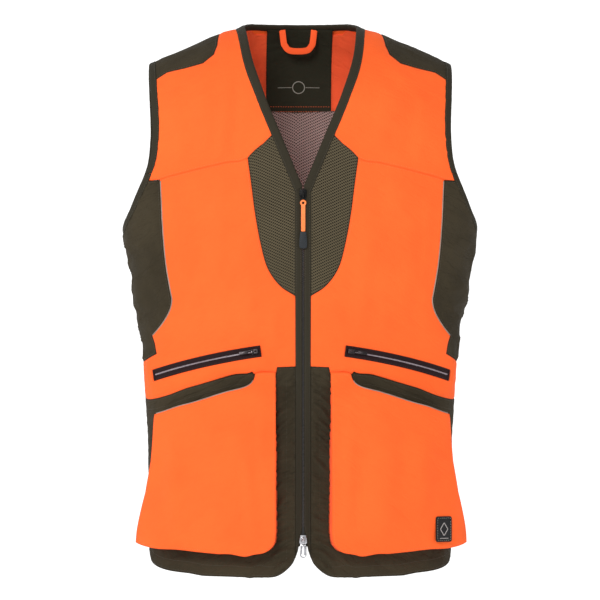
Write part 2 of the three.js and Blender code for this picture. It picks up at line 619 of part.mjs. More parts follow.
// The slider and pull of a zipped pocket, at the inner end of its arc. It straddles the teeth.
function makePocketSlider(side) {
  const { flip } = cuttersOf(side);
  const frame = arcFrame(flip).multiply(new THREE.Matrix4().makeRotationZ(POCKET_SLIDER / ARC.radius));
  frame.multiply(new THREE.Matrix4().makeTranslation(ARC.radius, 0, 0));
  // In this frame x points out of the pocket, y along the arc and z up the axis.
  const bar = POCKET_BAR;
  const plate = solid(box(1.4, 9, 6.6, 3.4, 0, 0));
  const flange = (up) => solid(box(2.2, 8, 1, 2.5, 0, up * 2.8));
  const lug = solid(box(2.4, 3, 2, bar.out, bar.along, 0));
  const lugHole = solid(box(1.2, 1.2, 8, bar.out, bar.along, 0));
  const slider = plate.add(flange(1)).add(flange(-1)).add(lug).subtract(lugHole);
  add(`pocket_slider_${side}`, solid(placed(geometryOf(slider), frame)), SILVER);
  const pin = solid(box(0.6, 0.6, 4, bar.out, bar.along, 0));
  const arm = (up) => solid(box(0.8, 8, 0.7, bar.out, bar.along + 3.5, up * 1.75));
  const tab = solid(box(0.8, 12, 4.2, bar.out, bar.along + 12.5, 0));
  const pull = pin.add(arm(1)).add(arm(-1)).add(tab);
  add(`pocket_pull_${side}`, solid(placed(geometryOf(pull), frame)), SILVER);
}

// A flat rubber badge on the wearer's left cargo pocket, square to the cloth at its middle.
function makeBadge() {
  const BADGE = { x: 181, z: -647, width: 26, height: 33, thickness: 1.5, corner: 3 };
  const offset = along(POCKET_RELIEF, BADGE.z);
  const halfWidth = along(SIDE_LINE, BADGE.z) + offset;
  const depth = CHEST_DEPTH + offset;
  const across = BADGE.x / halfWidth;
  const bulge = (1 - across ** SECTION_POWER) ** (1 / SECTION_POWER);
  const slope = (depth / halfWidth) * (across / bulge) ** (SECTION_POWER - 1);
  const [w, h, r] = [BADGE.width / 2, BADGE.height / 2, BADGE.corner];
  const shape = new THREE.Shape();
  shape.absarc(w - r, h - r, r, 0, Math.PI / 2, false);
  shape.absarc(r - w, h - r, r, Math.PI / 2, Math.PI, false);
  shape.absarc(r - w, r - h, r, Math.PI, 1.5 * Math.PI, false);
  shape.absarc(w - r, r - h, r, 1.5 * Math.PI, 2 * Math.PI, false);
  const geometry = extruded(shape, BADGE.thickness, 4);
  geometry.rotateX(Math.PI / 2);
  const badge = add('badge_patch', geometry, BLACK_RUBBER);
  const turn = Math.atan(slope);
  badge.rotation.set(0, 0, turn);
  const clearOfCloth = 1.1;
  const x = BADGE.x + clearOfCloth * Math.sin(turn);
  const y = -depth * bulge - clearOfCloth * Math.cos(turn);
  badge.position.set(x, y, BADGE.z);
}

makeBack();
makeHangerLoop();
for (const side of ['left', 'right']) {
  makeShoulder(side);
  makeFront(side);
  makeZipHalf(side);
  makeZippedPocket(side);
  makeCargoPocket(side);
  makePocketSlider(side);
}
makeMainZip();
makeBadge();

export default vest;
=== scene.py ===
"""A blaze orange hunting vest: the visible cloth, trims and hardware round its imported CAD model.

Metres, in the model's frame: +X is the wearer's left, -Y the front, +Z up. Outlines are drawn in
millimetres in the XZ plane, on the wearer's left, and mirrored for the right. Cloth is laid out in
flat coordinates (s, v): s runs round the torso from the centre front, v down from the shoulder line.
"""

import json
import math

import bmesh
import bpy
import numpy as np
from mathutils import Matrix, Vector, geometry


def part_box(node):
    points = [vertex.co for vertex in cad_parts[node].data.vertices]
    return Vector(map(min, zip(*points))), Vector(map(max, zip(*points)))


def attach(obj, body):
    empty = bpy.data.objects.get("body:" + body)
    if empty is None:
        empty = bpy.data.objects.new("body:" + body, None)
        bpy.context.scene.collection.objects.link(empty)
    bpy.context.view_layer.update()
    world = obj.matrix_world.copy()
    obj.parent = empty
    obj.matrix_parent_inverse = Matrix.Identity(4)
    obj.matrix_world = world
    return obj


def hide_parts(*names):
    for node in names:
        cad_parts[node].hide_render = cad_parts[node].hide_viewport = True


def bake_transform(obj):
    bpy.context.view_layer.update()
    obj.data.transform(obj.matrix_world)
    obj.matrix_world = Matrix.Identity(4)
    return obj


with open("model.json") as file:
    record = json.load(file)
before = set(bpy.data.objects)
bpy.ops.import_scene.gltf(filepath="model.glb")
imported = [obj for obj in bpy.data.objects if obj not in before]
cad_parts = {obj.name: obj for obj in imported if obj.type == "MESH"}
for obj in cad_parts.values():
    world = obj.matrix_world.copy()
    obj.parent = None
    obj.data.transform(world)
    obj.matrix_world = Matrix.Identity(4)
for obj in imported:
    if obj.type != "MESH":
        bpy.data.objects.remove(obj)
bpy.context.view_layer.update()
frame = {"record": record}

# ---- driving sizes ----
MM = 0.001
HALF_CHEST = 231 * MM
CHEST_DEPTH = 100 * MM
SECTION_POWER = 2.4
SHOULDER_ROUNDING = 110 * MM
TURN = 165 * MM  # cloth that rounds over from the shoulder line to the upright chest
CLOTH = 2.2 * MM
LINING = 1.0 * MM
SPACING = 5 * MM  # between the points inside a cloth panel
EDGE_STEP = 3.5 * MM  # between the points along its edges
EDGE_ROWS = (0.9 * MM, 2.0 * MM, 3.2 * MM, 4.8 * MM)  # rows of points beside an edge
SEAM_ROLL = 0.55 * MM  # how far a panel's edge dips into its seam
STITCH_PITCH = 3.3 * MM
BINDING_WIDTH = 9
UNDER_BINDING = 3  # how far inside a binding's edge the panels end

SIDE = None  # in an outline: on the side line, where the front meets the back
TOP = None  # in an outline: on the shoulder line

# (height, half width), (distance from the middle, height) and (height, depth of the cargo pocket)
SIDE_LINE = [(-716, 196), (-538, 197), (-476, 201), (-413, 205), (-351, 216), (-289, 225), (-257, 231),
             (60, 231)]
SHOULDER_LINE = [(-10, 38), (0, 35), (62, 13), (79, 1), (99.5, -3.2), (123, -13), (147, -23.4), (173, -34),
                 (196, -46), (260, -75)]
POCKET_RELIEF = [(-716, 18), (-684, 23), (-650, 27), (-600, 26), (-520, 20), (-475, 15), (-440, 12),
                 (60, 12)]


# ---- vectors ----


def unit(vectors):
    """Vectors scaled to a length of 1."""
    return vectors / np.maximum(np.linalg.norm(vectors, axis=-1, keepdims=True), 1e-12)


def sideways(ways):
    """Plane vectors turned a quarter to their left."""
    return np.stack([-ways[:, 1], ways[:, 0]], axis=1)


def placed(matrix, points):
    """Points moved by a 4x4 matrix."""
    return (np.c_[points, np.ones(len(points))] @ np.array(matrix).T)[:, :3]


# ---- the torso's surface ----


def smooth_table(rows, spread):
    """A table of (place, value) rows in millimetres as a smooth function in metres."""
    places, values = np.array(rows, float).T * MM
    step = 1 * MM
    fine = np.arange(places[0], places[-1], step)
    reach = int(spread / step)
    window = np.hanning(2 * reach + 1)
    padded = np.pad(np.interp(fine, places, values), reach, mode="reflect", reflect_type="odd")
    smooth = np.convolve(padded, window / window.sum(), mode="valid")
    return lambda place: np.interp(place, fine, smooth)


half_width = smooth_table(SIDE_LINE, 30 * MM)
shoulder_height = smooth_table(SHOULDER_LINE, 9 * MM)
pocket_relief = smooth_table(POCKET_RELIEF, 25 * MM)


def bulge(u):
    """How deep a level section is at a share u of its half width."""
    return (1 - np.minimum(np.abs(u), 1) ** SECTION_POWER) ** (1 / SECTION_POWER)


def round_table():
    """Angles round the torso and the length of cloth to each, from the centre front."""
    angles = np.linspace(-math.pi / 2, 3 * math.pi / 2, 2401)
    x = 212 * MM * np.sin(angles)
    y = -CHEST_DEPTH * bulge(np.sin(angles)) * np.sign(np.cos(angles))
    lengths = np.concatenate([[0], np.cumsum(np.hypot(np.diff(x), np.diff(y)))])
    return angles, lengths - np.interp(0, angles, lengths)


ANGLES, LENGTHS = round_table()
SIDE_S = float(np.interp(math.pi / 2, ANGLES, LENGTHS))
BACK_S = 2 * SIDE_S  # the centre back


def surface(s, v, offset=0.0):
    """Points of the torso's surface, grown by an offset, as an (n, 3) array."""
    angle = np.interp(s, LENGTHS, ANGLES)
    u = np.sin(angle)
    top = shoulder_height(np.abs(u) * HALF_CHEST)
    turn = np.clip(np.abs(v) / TURN, 0, 1) * math.pi / 2
    down = np.maximum(np.abs(v) - TURN, 0)
    z = top + offset - (1 - np.cos(turn)) * (SHOULDER_ROUNDING + offset) - down
    x = u * (half_width(z) + offset)
    front = np.where(np.cos(angle) >= 0, -1.0, 1.0) * np.where(v >= 0, 1.0, -1.0)
    y = front * (CHEST_DEPTH + offset) * bulge(u) * np.sin(turn)
    return np.stack([x, y, z], axis=-1)


def normals(s, v, offset=0.0):
    """Unit normals of the surface, pointing out."""
    step = 0.4 * MM
    along = surface(s + step, v, offset) - surface(s - step, v, offset)
    down = surface(s, v + step, offset) - surface(s, v - step, offset)
    out = unit(np.cross(along, down))
    points = surface(s, v, offset)
    facing = np.einsum("ij,ij->i", out[:, :2], points[:, :2])
    upward = np.where(np.abs(v) < 20 * MM, out[:, 2], facing)
    return out * np.where(upward < 0, -1.0, 1.0)[:, None]


def lifted(at, offset=0.0):
    """The surface's points and normals at flat places. offset is a distance or a function of height."""
    s, v = at[:, 0], at[:, 1]
    grown = offset(surface(s, v)[:, 2]) if callable(offset) else offset
    return surface(s, v, grown), normals(s, v, grown)


def lay(x, z, back=False, grown=None):
    """The flat place of a point of an outline in XZ, in millimetres. grown is an offset by height."""
    if z is TOP:
        u = x * MM / HALF_CHEST
        v = 0.0
    else:
        reach = float(half_width(z * MM)) + (float(grown(z * MM)) if grown else 0.0)
        u = 1.0 if x is SIDE else max(-1.0, min(1.0, x * MM / reach))
        drop = max(0.0, float(shoulder_height(abs(u) * HALF_CHEST)) - z * MM)
        if drop < SHOULDER_ROUNDING:
            v = math.acos(1 - drop / SHOULDER_ROUNDING) / (math.pi / 2) * TURN
        else:
            v = TURN + drop - SHOULDER_ROUNDING
    s = float(np.interp(math.asin(u), ANGLES, LENGTHS))
    return (BACK_S - s if back else s), v


def curve(points, pieces=6):
    """A smooth line through points, with some pieces between each two."""
    points = [np.array(p, float) for p in points]
    ends = [2 * points[0] - points[1], *points, 2 * points[-1] - points[-2]]
    line = []
    for a, b, c, d in zip(ends, ends[1:], ends[2:], ends[3:]):
        for i in range(pieces):
            t = i / pieces
            line.append(0.5 * (2 * b + (c - a) * t + (2 * a - 5 * b + 4 * c - d) * t**2
                               + (3 * b - a - 3 * c + d) * t**3))
    return [tuple(p) for p in line] + [tuple(points[-1])]


def shifted(points, distance):
    """An open line in a plane moved sideways: to its left for a positive distance."""
    line = np.array(points, float)
    return line + distance * sideways(unit(np.gradient(line, axis=0)))


def flat(outline, back=False, grown=None):
    """An outline in XZ as flat places."""
    return np.array([lay(x, z, back, grown) for x, z in outline])


def opposite(line):
    """Flat places mirrored from the front to the back of the same side."""
    return np.stack([BACK_S - line[:, 0], line[:, 1]], axis=1)[::-1]


# ---- outlines on the wearer's left ----

ARMHOLE_FRONT = [(196, TOP), (196, -60), (194.5, -90), (193, -120), (193.5, -148), (198, -179), (212, -213),
                 (224, -241)]
NECK_FRONT = [(1.3, -206), (26, -146), (50.7, -86), (66.3, -39), (72.8, -3)]
NAPE = [(62, 8), (45, 8), (23, 8), (0, 8)]
PATCH_EDGE = [(104, TOP), (106.5, -9), (109, -22), (113.8, -34), (128, -45.5), (152, -52), (174, -57),
              (191, -68)]
CHEST_SEAM = [(71.5, -168.3), (106, -176), (141, -184), (184, -196)]
MESH_TOP = [(33, -132), (52, -150.5), (71.5, -168.3)]
MESH_SIDE = curve([MESH_TOP[-1], (66.5, -205), (62, -240), (55, -278), (46, -310), (30, -333), (9.3, -347)])
SIDE_SEAM = [*curve([(184, -197), (181, -258), (177, -304), (171, -340), (169, -353), (172.5, -367),
                     (182, -383), (193.5, -397)], 3), (190, -408), (188, -421)]
MOUTH_SEAM = [(9.3, -437), (33.5, -438), (35, -446.5), (63, -447), (65.5, -443.8), (132, -460),
              (SIDE, -477.5)]
FRONT_HEM = [(194, -690), (165, -702), (130, -707),
             *curve([(85, -708.5), (45, -709), (29, -705), (15, -693), (9.3, -682)], 4)]
CARGO_TOP = [(36, -444.5), (62.5, -446),
             *curve([(63.5, -451), (67, -458.5), (77, -464.5), (100, -470.5)], 3), (146, -485), (191, -499)]
CARGO_SIDE = [(192, -505), (196, -560), (203, -600), (215, -665)]
CARGO_BOTTOM = [(150, -674), (110, -678), *curve([(66, -679), (49, -675.5), (38.5, -665), (36, -649)], 4)]


def neck_line():
    """The neck's edge on one side, flat, from the bottom of the V to the middle of the nape."""
    rise = [lay(x, z) for x, z in NECK_FRONT]
    over = [(lay(73.4, TOP)[0], 0.0)]
    nape = [(s, -v) for s, v in (lay(x, z) for x, z in NAPE)]
    return np.array(curve(rise + over + nape, 8))


def armhole_line():
    """The armhole's edge, flat, from the shoulder down the front, round the underarm and up the back."""
    front = [lay(x, z) for x, z in ARMHOLE_FRONT]
    under = [(SIDE_S, lay(SIDE, -259)[1])]
    back = [(BACK_S - s, v) for s, v in front[::-1]]
    return np.array(curve(front + under + back, 8))


NECK_LINE = neck_line()
ARMHOLE_LINE = armhole_line()


# ---- the zipped pocket's arc, through three points of the welt's middle line ----

WELT_POINTS = [(54.6, -98.2, -417.3), (127.4, -85.1, -430.8), (191, -45.5, -449)]
WELT_HEIGHT = 14 * MM


def arc_through(points):
    """The circle through three points: its frame (X at the first point, Z its axis), radius and span."""
    a, b, c = (Vector(p) * MM for p in points)
    ab, ac = b - a, c - a
    axis = ab.cross(ac).normalized()
    to_centre = axis.cross(ab) * ac.length_squared - axis.cross(ac) * ab.length_squared
    centre = a + to_centre / (2 * ab.cross(ac).length)
    start = a - centre
    across = start.normalized()
    turned = Matrix((across, axis.cross(across), axis)).transposed().to_4x4()
    return Matrix.Translation(centre) @ turned, start.length, start.angle(c - centre)


ARC_FRAME, ARC_RADIUS, ARC_SPAN = arc_through(WELT_POINTS)


def on_arc(angle, height, out=0.0):
    """Points over the arc: at an angle along it, a height across it and a distance outside it."""
    angle, height, out = np.broadcast_arrays(angle, height, out)
    radius = ARC_RADIUS + out
    local = np.stack([radius * np.cos(angle), radius * np.sin(angle), height, np.ones_like(radius)], axis=-1)
    return (local @ np.array(ARC_FRAME).T)[..., :3]


# ---- filling an outline with cloth ----


def nearest_on(loop, points):
    """The distance of each point to a closed line, and how far along the line that is."""
    ends = np.roll(loop, -1, axis=0)
    spans = ends - loop
    squares = np.maximum((spans**2).sum(1), 1e-16)
    starts = np.concatenate([[0], np.cumsum(np.sqrt(squares))[:-1]])
    distance = np.empty(len(points))
    along = np.empty(len(points))
    for low in range(0, len(points), 4000):
        part = points[low : low + 4000]
        away = part[:, None, :] - loop[None]
        t = np.clip((away * spans).sum(2) / squares, 0, 1)
        gap = np.linalg.norm(away - t[..., None] * spans, axis=2)
        best = gap.argmin(1)
        rows = np.arange(len(part))
        distance[low : low + 4000] = gap[rows, best]
        along[low : low + 4000] = starts[best] + t[rows, best] * np.sqrt(squares[best])
    return distance, along


def inside(loop, points):
    """True for each point that lies inside a closed line."""
    ends = np.roll(loop, -1, axis=0)
    found = np.zeros(len(points), bool)
    for (x0, y0), (x1, y1) in zip(loop, ends):
        if y0 != y1:
            crosses = (points[:, 1] < y0) != (points[:, 1] < y1)
            found ^= crosses & (points[:, 0] < x0 + (x1 - x0) * (points[:, 1] - y0) / (y1 - y0))
    return found


def signed_area(loop):
    """The area inside a closed line, negative when it runs clockwise."""
    following = np.roll(loop, -1, axis=0)
    return (loop[:, 0] * following[:, 1] - following[:, 0] * loop[:, 1]).sum() / 2


def stepped(loop, step):
    """A closed line with points no further apart than a step, turning anticlockwise."""
    points = []
    for start, end in zip(loop, np.roll(loop, -1, axis=0)):
        length = np.linalg.norm(end - start)
        if length > 0.05 * MM:
            pieces = max(1, round(length / step))
            points += [start + (end - start) * i / pieces for i in range(pieces)]
    points = np.array(points)
    return points if signed_area(points) > 0 else points[::-1]


def beside(loop, edge, distance):
    """Points on the cloth, at a distance from its outline or from a hole's rim, and which to keep."""
    inwards = sideways(unit(np.roll(edge, -1, axis=0) - np.roll(edge, 1, axis=0)))
    if edge is not loop:
        moved = edge - distance * inwards
        return moved, inside(loop, moved)
    moved = loop + distance * inwards
    gap, _ = nearest_on(loop, moved)
    return moved, (gap > 0.93 * distance) & inside(loop, moved)


def fill(loop, holes=(), spacing=SPACING, rows=EDGE_ROWS):
    """Flat points and triangles inside a closed line, with rows of points beside its edges."""
    edges_of = [loop, *holes]
    points = [np.concatenate(edges_of)]
    for distance in rows:
        for edge in edges_of:
            moved, kept = beside(loop, edge, distance)
            points.append(moved[kept])
    low, high = loop.min(0), loop.max(0)
    row_height = spacing * math.sqrt(3) / 2
    columns = np.arange(low[0], high[0], spacing)
    grid = [np.stack([columns + (spacing / 2) * (n % 2), np.full(len(columns), y)], axis=1)
            for n, y in enumerate(np.arange(low[1], high[1], row_height))]
    grid = np.concatenate(grid)
    grid = grid[inside(loop, grid)]
    margin = rows[-1] + 0.55 * spacing
    for edge in edges_of:
        gap, _ = nearest_on(edge, grid)
        grid = grid[gap > margin]
    for hole in holes:
        grid = grid[~inside(hole, grid)]
    points.append(grid)
    coordinates = np.concatenate(points)
    edges = []
    first = 0
    for edge in edges_of:
        count = len(edge)
        edges += [(first + i, first + (i + 1) % count) for i in range(count)]
        first += count
    outline = [list(range(len(loop)))]
    made = geometry.delaunay_2d_cdt([Vector(p) for p in coordinates], edges, outline, 1, 1e-7)
    flat_points = np.array([tuple(p) for p in made[0]])
    triangles = np.array(made[2])
    middles = flat_points[triangles].mean(1)
    kept = inside(loop, middles)
    for hole in holes:
        kept &= ~inside(hole, middles)
    return flat_points, triangles[kept]


def ripple(s, v, wavelength, seed):
    """A smooth irregular wave over the cloth, from about -1 to 1."""
    draw = np.random.default_rng(seed)
    total = np.zeros_like(s)
    waves = 7
    for _ in range(waves):
        heading = draw.uniform(0, math.pi)
        length = wavelength * draw.uniform(0.7, 1.5)
        phase = draw.uniform(0, 2 * math.pi)
        total += np.sin((s * math.cos(heading) + v * math.sin(heading)) * 2 * math.pi / length + phase)
    return total / math.sqrt(waves * 1.2)


def ramp(value, low, high):
    """0 below low, 1 above high, smooth between."""
    t = np.clip((value - low) / (high - low), 0, 1)
    return t * t * (3 - 2 * t)


def fold_height(points, folds):
    """The height of soft folds. Each is ((x, z), (x, z), width, height) in millimetres."""
    total = np.zeros(len(points))
    place = points[:, [0, 2]] / MM
    place[:, 0] = np.abs(place[:, 0])
    for start, end, width, height in folds:
        start, end = np.array(start, float), np.array(end, float)
        span = end - start
        share = ((place - start) @ span) / (span @ span)
        gap = np.linalg.norm(place - start - np.clip(share, 0, 1)[:, None] * span, axis=1)
        taper = ramp(share, -0.15, 0.3) * ramp(1 - share, -0.15, 0.3)
        total += height * MM * taper * np.exp(-((gap / width) ** 2))
    return total


# ---- objects ----


def mesh_object(name, points, faces, material, uv=None, side="left", marks=None, slots=None):
    """A mesh object in the model's frame. The wearer's right is the mirror image of the left."""
    points = np.array(points, float)
    faces = [tuple(int(i) for i in face) for face in faces]
    if side == "right":
        points[:, 0] *= -1
        faces = [face[::-1] for face in faces]
    mesh = bpy.data.meshes.new(name)
    mesh.from_pydata(points.tolist(), [], faces)
    materials = material if isinstance(material, (list, tuple)) else [material]
    for each in materials:
        mesh.materials.append(each)
    if slots is not None:
        mesh.polygons.foreach_set("material_index", np.array(slots, np.int32))
    if uv is not None:
        layer = mesh.uv_layers.new(name="Cloth")
        corners = np.zeros(len(mesh.loops), np.int32)
        mesh.loops.foreach_get("vertex_index", corners)
        layer.data.foreach_set("uv", np.array(uv, np.float32)[corners].ravel())
    # marks hold the mask of the painted seam shade, kept in the seam attribute
    if marks is not None:
        attribute = mesh.attributes.new("seam", "FLOAT", "POINT")
        attribute.data.foreach_set("value", np.array(marks, np.float32))
    mesh.polygons.foreach_set("use_smooth", [True] * len(mesh.polygons))
    mesh.update()
    made = bpy.data.objects.new(name, mesh)
    bpy.context.scene.collection.objects.link(made)
    return made


def join_parts(parts):
    """Several (points, faces, uv, marks, slot) parts as the arguments of one mesh object."""
    points, faces, uvs, marks, slots = [], [], [], [], []
    first = 0
    for part_points, part_faces, uv, mark, slot in parts:
        count = len(part_points)
        points.append(np.asarray(part_points, float))
        faces += [tuple(i + first for i in face) for face in part_faces]
        uvs.append(np.zeros((count, 2)) if uv is None else np.asarray(uv, float))
        marks.append(np.full(count, 1.0) if mark is None else np.asarray(mark, float))
        slots += [slot] * len(part_faces)
        first += count
    return np.concatenate(points), faces, np.concatenate(uvs), np.concatenate(marks), slots


def stitch_parts(places, ways, ups, half=1.25 * MM, radius=0.24 * MM):
    """A stitch of thread at each place, lying along its way: points and faces."""
    across = np.cross(ways, ups)
    rings = [(-half, 0.0), (-0.55 * half, radius), (0.55 * half, radius), (half, 0.0)]
    points, faces = [], []
    for shift, size in rings:
        turns = 1 if size == 0 else 4
        for turn in range(turns):
            angle = turn * math.pi / 2 + math.pi / 4
            away = ups * (size * math.sin(angle)) + across * (size * math.cos(angle))
            points.append(places + ways * shift + away)
    block = np.stack(points, axis=1).reshape(-1, 3)
    each = [(0, 1 + (k + 1) % 4, 1 + k) for k in range(4)]
    each += [(1 + k, 1 + (k + 1) % 4, 5 + (k + 1) % 4, 5 + k) for k in range(4)]
    each += [(5 + k, 5 + (k + 1) % 4, 9) for k in range(4)]
    count = len(points)
    for n in range(len(places)):
        faces += [tuple(n * count + i for i in face) for face in each]
    return block, faces


def lengths_along(line):
    """How far along an open line each of its points is."""
    return np.concatenate([[0], np.cumsum(np.linalg.norm(np.diff(line, axis=0), axis=1))])


def walk(line, step):
    """Even steps along an open line: places and the ways they point."""
    lengths = lengths_along(line)
    spots = np.arange(step / 2, lengths[-1], step)
    here, ahead, behind_it = (
        np.stack([np.interp(spots + shift, lengths, column) for column in line.T], axis=1)
        for shift in (0, 0.2 * step, -0.2 * step))
    return here, unit(ahead - behind_it)


def walk_whole(line, step):
    """The same, with both ends of the line."""
    places, ways = walk(line, step)
    return np.concatenate([[line[0]], places, [line[-1]]]), np.concatenate([ways[:1], ways, ways[-1:]])


def solid_sheet(outer, out, triangles, thickness, marks, uv):
    """A closed sheet: its outer face, an inner face a thickness below it, and the rim between them."""
    count = len(outer)
    points = np.concatenate([outer, outer - out * thickness])
    a, b, c = triangles[:, 0], triangles[:, 1], triangles[:, 2]
    edges = np.concatenate([np.stack([a, b], 1), np.stack([b, c], 1), np.stack([c, a], 1)])
    keys = {(int(i), int(j)) for i, j in edges}
    rim = [(j, i, i + count, j + count) for i, j in keys if (j, i) not in keys]
    faces = [tuple(t) for t in triangles] + [tuple(t[::-1] + count) for t in triangles] + sorted(rim)
    return points, faces, np.concatenate([uv, uv]), np.concatenate([marks, marks])


def facing_out(points, out, triangles):
    """Triangles turned so that their faces look along the normals."""
    a, b, c = (points[triangles[:, i]] for i in range(3))
    towards = np.einsum("ij,ij->i", np.cross(b - a, c - a), out[triangles[:, 0]])
    return np.where((towards < 0)[:, None], triangles[:, ::-1], triangles)


def panel(name, loop, material, side="left", *, holes=(), offset=0.0, thickness=CLOTH, spacing=SPACING,
          seed=1, wave=1.1 * MM, pucker=0.4 * MM, folds=(), stitches=(2.6 * MM,), thread=None,
          inward=False, roll=SEAM_ROLL, crumple=0.5 * MM, shape=None, extra=None):
    """A sewn cloth panel over the torso.

    Its edges roll down into their seams, its surface waves, and small puckers start from the seams.
    offset is a distance or a function of height; shape(points, out, edge distance) may move points.
    """
    loop = stepped(np.asarray(loop, float), EDGE_STEP)
    holes = [stepped(np.asarray(hole, float), EDGE_STEP) for hole in holes]
    places, triangles = fill(loop, holes, spacing)

    def raised(at):
        s, v = at[:, 0], at[:, 1]
        base, out = lifted(at, offset)
        gap, along = nearest_on(loop, at)
        for hole in holes:
            hole_gap, hole_along = nearest_on(hole, at)
            along = np.where(hole_gap < gap, hole_along, along)
            gap = np.minimum(gap, hole_gap)
        swell = ripple(s, v, 75 * MM, seed) + 0.35 * ripple(s, v, 28 * MM, seed + 50)
        height = wave * swell * ramp(gap, 0, 30 * MM)
        beat = np.sin(along / (13 * MM) * 2 * math.pi + 2.2 * ripple(s, v, 60 * MM, seed + 90))
        height += pucker * beat * np.exp(-gap / (9 * MM)) * ramp(gap, 0.8 * MM, 5 * MM)
        height += fold_height(base, folds) * ramp(gap, 2 * MM, 20 * MM)
        creases = np.exp(-((ripple(s, 2.2 * v, 90 * MM, seed + 130) / 0.22) ** 2))
        height += crumple * creases * ramp(gap, 0, 8 * MM)
        dip = roll * np.exp(-((gap / (1.15 * MM)) ** 2))
        for row in stitches:
            dip += 0.22 * MM * np.exp(-(((gap - row) / (0.8 * MM)) ** 2))
        if inward:
            out = -out
        moved = base + out * (height - dip)[:, None]
        if shape is not None:
            moved = shape(moved, out, gap, base)
        return moved, out, gap

    points, out, gap = raised(places)
    triangles = facing_out(points, out, triangles)
    # the mask of the painted seam shade: 0 at the panel's edge, 1 from 6 mm inside it
    marks = np.clip(gap / (6 * MM), 0, 1)
    cloth = solid_sheet(points, out, triangles, thickness, marks, places)
    parts = [(*cloth, 0)]
    if thread is not None:
        for row in stitches:
            for edge in [loop, *holes]:
                moved, kept = beside(loop, edge, row)
                parts += [(*stitch_parts(*seat), None, None, 1) for seat in seats(moved, kept, raised)]
    if extra is not None:
        parts += extra(raised)
    points, faces, uv, mark, slots = join_parts(parts)
    made = mesh_object(name, points, faces, [material, thread or material], uv, side, mark, slots)
    made["flat_size"] = flat_size(loop)
    return made


def seats(moved, kept, raised):
    """Where stitches lie along the kept stretches of a flat line: places, ways and normals."""
    found = []
    run = []
    line = list(zip(moved, kept))
    for place, keep in [*line, (None, False)]:
        if keep and (not run or np.linalg.norm(place - run[-1]) < 3 * EDGE_STEP):
            run.append(place)
            continue
        if len(run) > 3:
            spots, _ = walk(np.array(run), STITCH_PITCH)
            if len(spots) > 2:
                points, out, _ = raised(spots)
                found.append((points + out * (0.12 * MM), unit(np.gradient(points, axis=0)), out))
        run = [place] if keep else []
    return found


def flat_size(loop):
    """Width, height and area of a flat outline."""
    width, height = loop.max(0) - loop.min(0)
    return [float(width), float(height), float(abs(signed_area(loop)))]


def ring_faces(rows, count, closed=False):
    """Faces joining rings of points, one ring after another, with a cap at each open end."""
    total = rows * count
    faces = []
    for row in range(rows if closed else rows - 1):
        for k in range(count):
            a, b = row * count + k, row * count + (k + 1) % count
            faces.append((a, b, (b + count) % total, (a + count) % total))
    if not closed:
        faces += [tuple(range(count))[::-1], tuple(range(total - count, total))]
    return faces


def strip_of(lines, uvs):
    """A closed strip through lines of points, one for each corner of its profile."""
    points = np.stack(lines, axis=1)
    rows, count = points.shape[:2]
    return (points.reshape(-1, 3), ring_faces(rows, count), np.stack(uvs, axis=1).reshape(-1, 2),
            np.ones(rows * count))


def tube(centres, up, sizes, sides=8, closed=False):
    """Points and faces of a tube along a line.

    up is one vector, or one for each centre; sizes is (across, up) half sizes, or one radius.
    """
    centres = np.asarray(centres, float)
    if closed:
        ways = unit(np.roll(centres, -1, axis=0) - np.roll(centres, 1, axis=0))
    else:
        ways = unit(np.gradient(centres, axis=0))
    across = unit(np.cross(ways, np.broadcast_to(np.asarray(up, float), centres.shape)))
    ups = np.cross(across, ways)
    wide, tall = np.broadcast_to(np.asarray(sizes, float), 2)
    angles = np.arange(sides) * 2 * math.pi / sides
    ring = (centres[:, None] + across[:, None] * (wide * np.cos(angles))[None, :, None]
            + ups[:, None] * (tall * np.sin(angles))[None, :, None])
    return ring.reshape(-1, 3), ring_faces(len(centres), sides, closed)


def cloth_strip(line, profile, seed=3, pucker=0.12 * MM, step=3 * MM):
    """A strip of folded tape along a flat line: profile points are (into the cloth, out of it) in mm."""
    spots, ways = walk_whole(np.asarray(line, float), step)
    length = lengths_along(spots)
    lines, uvs = [], []
    for into, out_by in profile:
        at = spots + sideways(ways) * (into * MM)
        base, out = lifted(at)
        beat = pucker * ripple(at[:, 0], at[:, 1], 11 * MM, seed) * (1.0 if out_by > -1 else 0.4)
        lines.append(base + out * (out_by * MM + beat)[:, None])
        uvs.append(np.stack([length, np.full(len(length), into * MM)], axis=1))
    return strip_of(lines, uvs)


def thread_on(line, into, out_by):
    """Stitches along a flat line, a distance into the cloth and out of it, in millimetres."""
    spots, _ = walk(shifted(np.asarray(line, float), into * MM), STITCH_PITCH)
    points, out = lifted(spots)
    tangents = unit(np.gradient(points, axis=0))
    return (*stitch_parts(points + out * (out_by * MM), tangents, out), None, None, 1)


def outwards(made):
    """Turns a closed mesh's faces outwards."""
    mesh = bmesh.new()
    mesh.from_mesh(made.data)
    bmesh.ops.recalc_face_normals(mesh, faces=mesh.faces)
    mesh.to_mesh(made.data)
    mesh.free()
    return made


# ---- materials ----


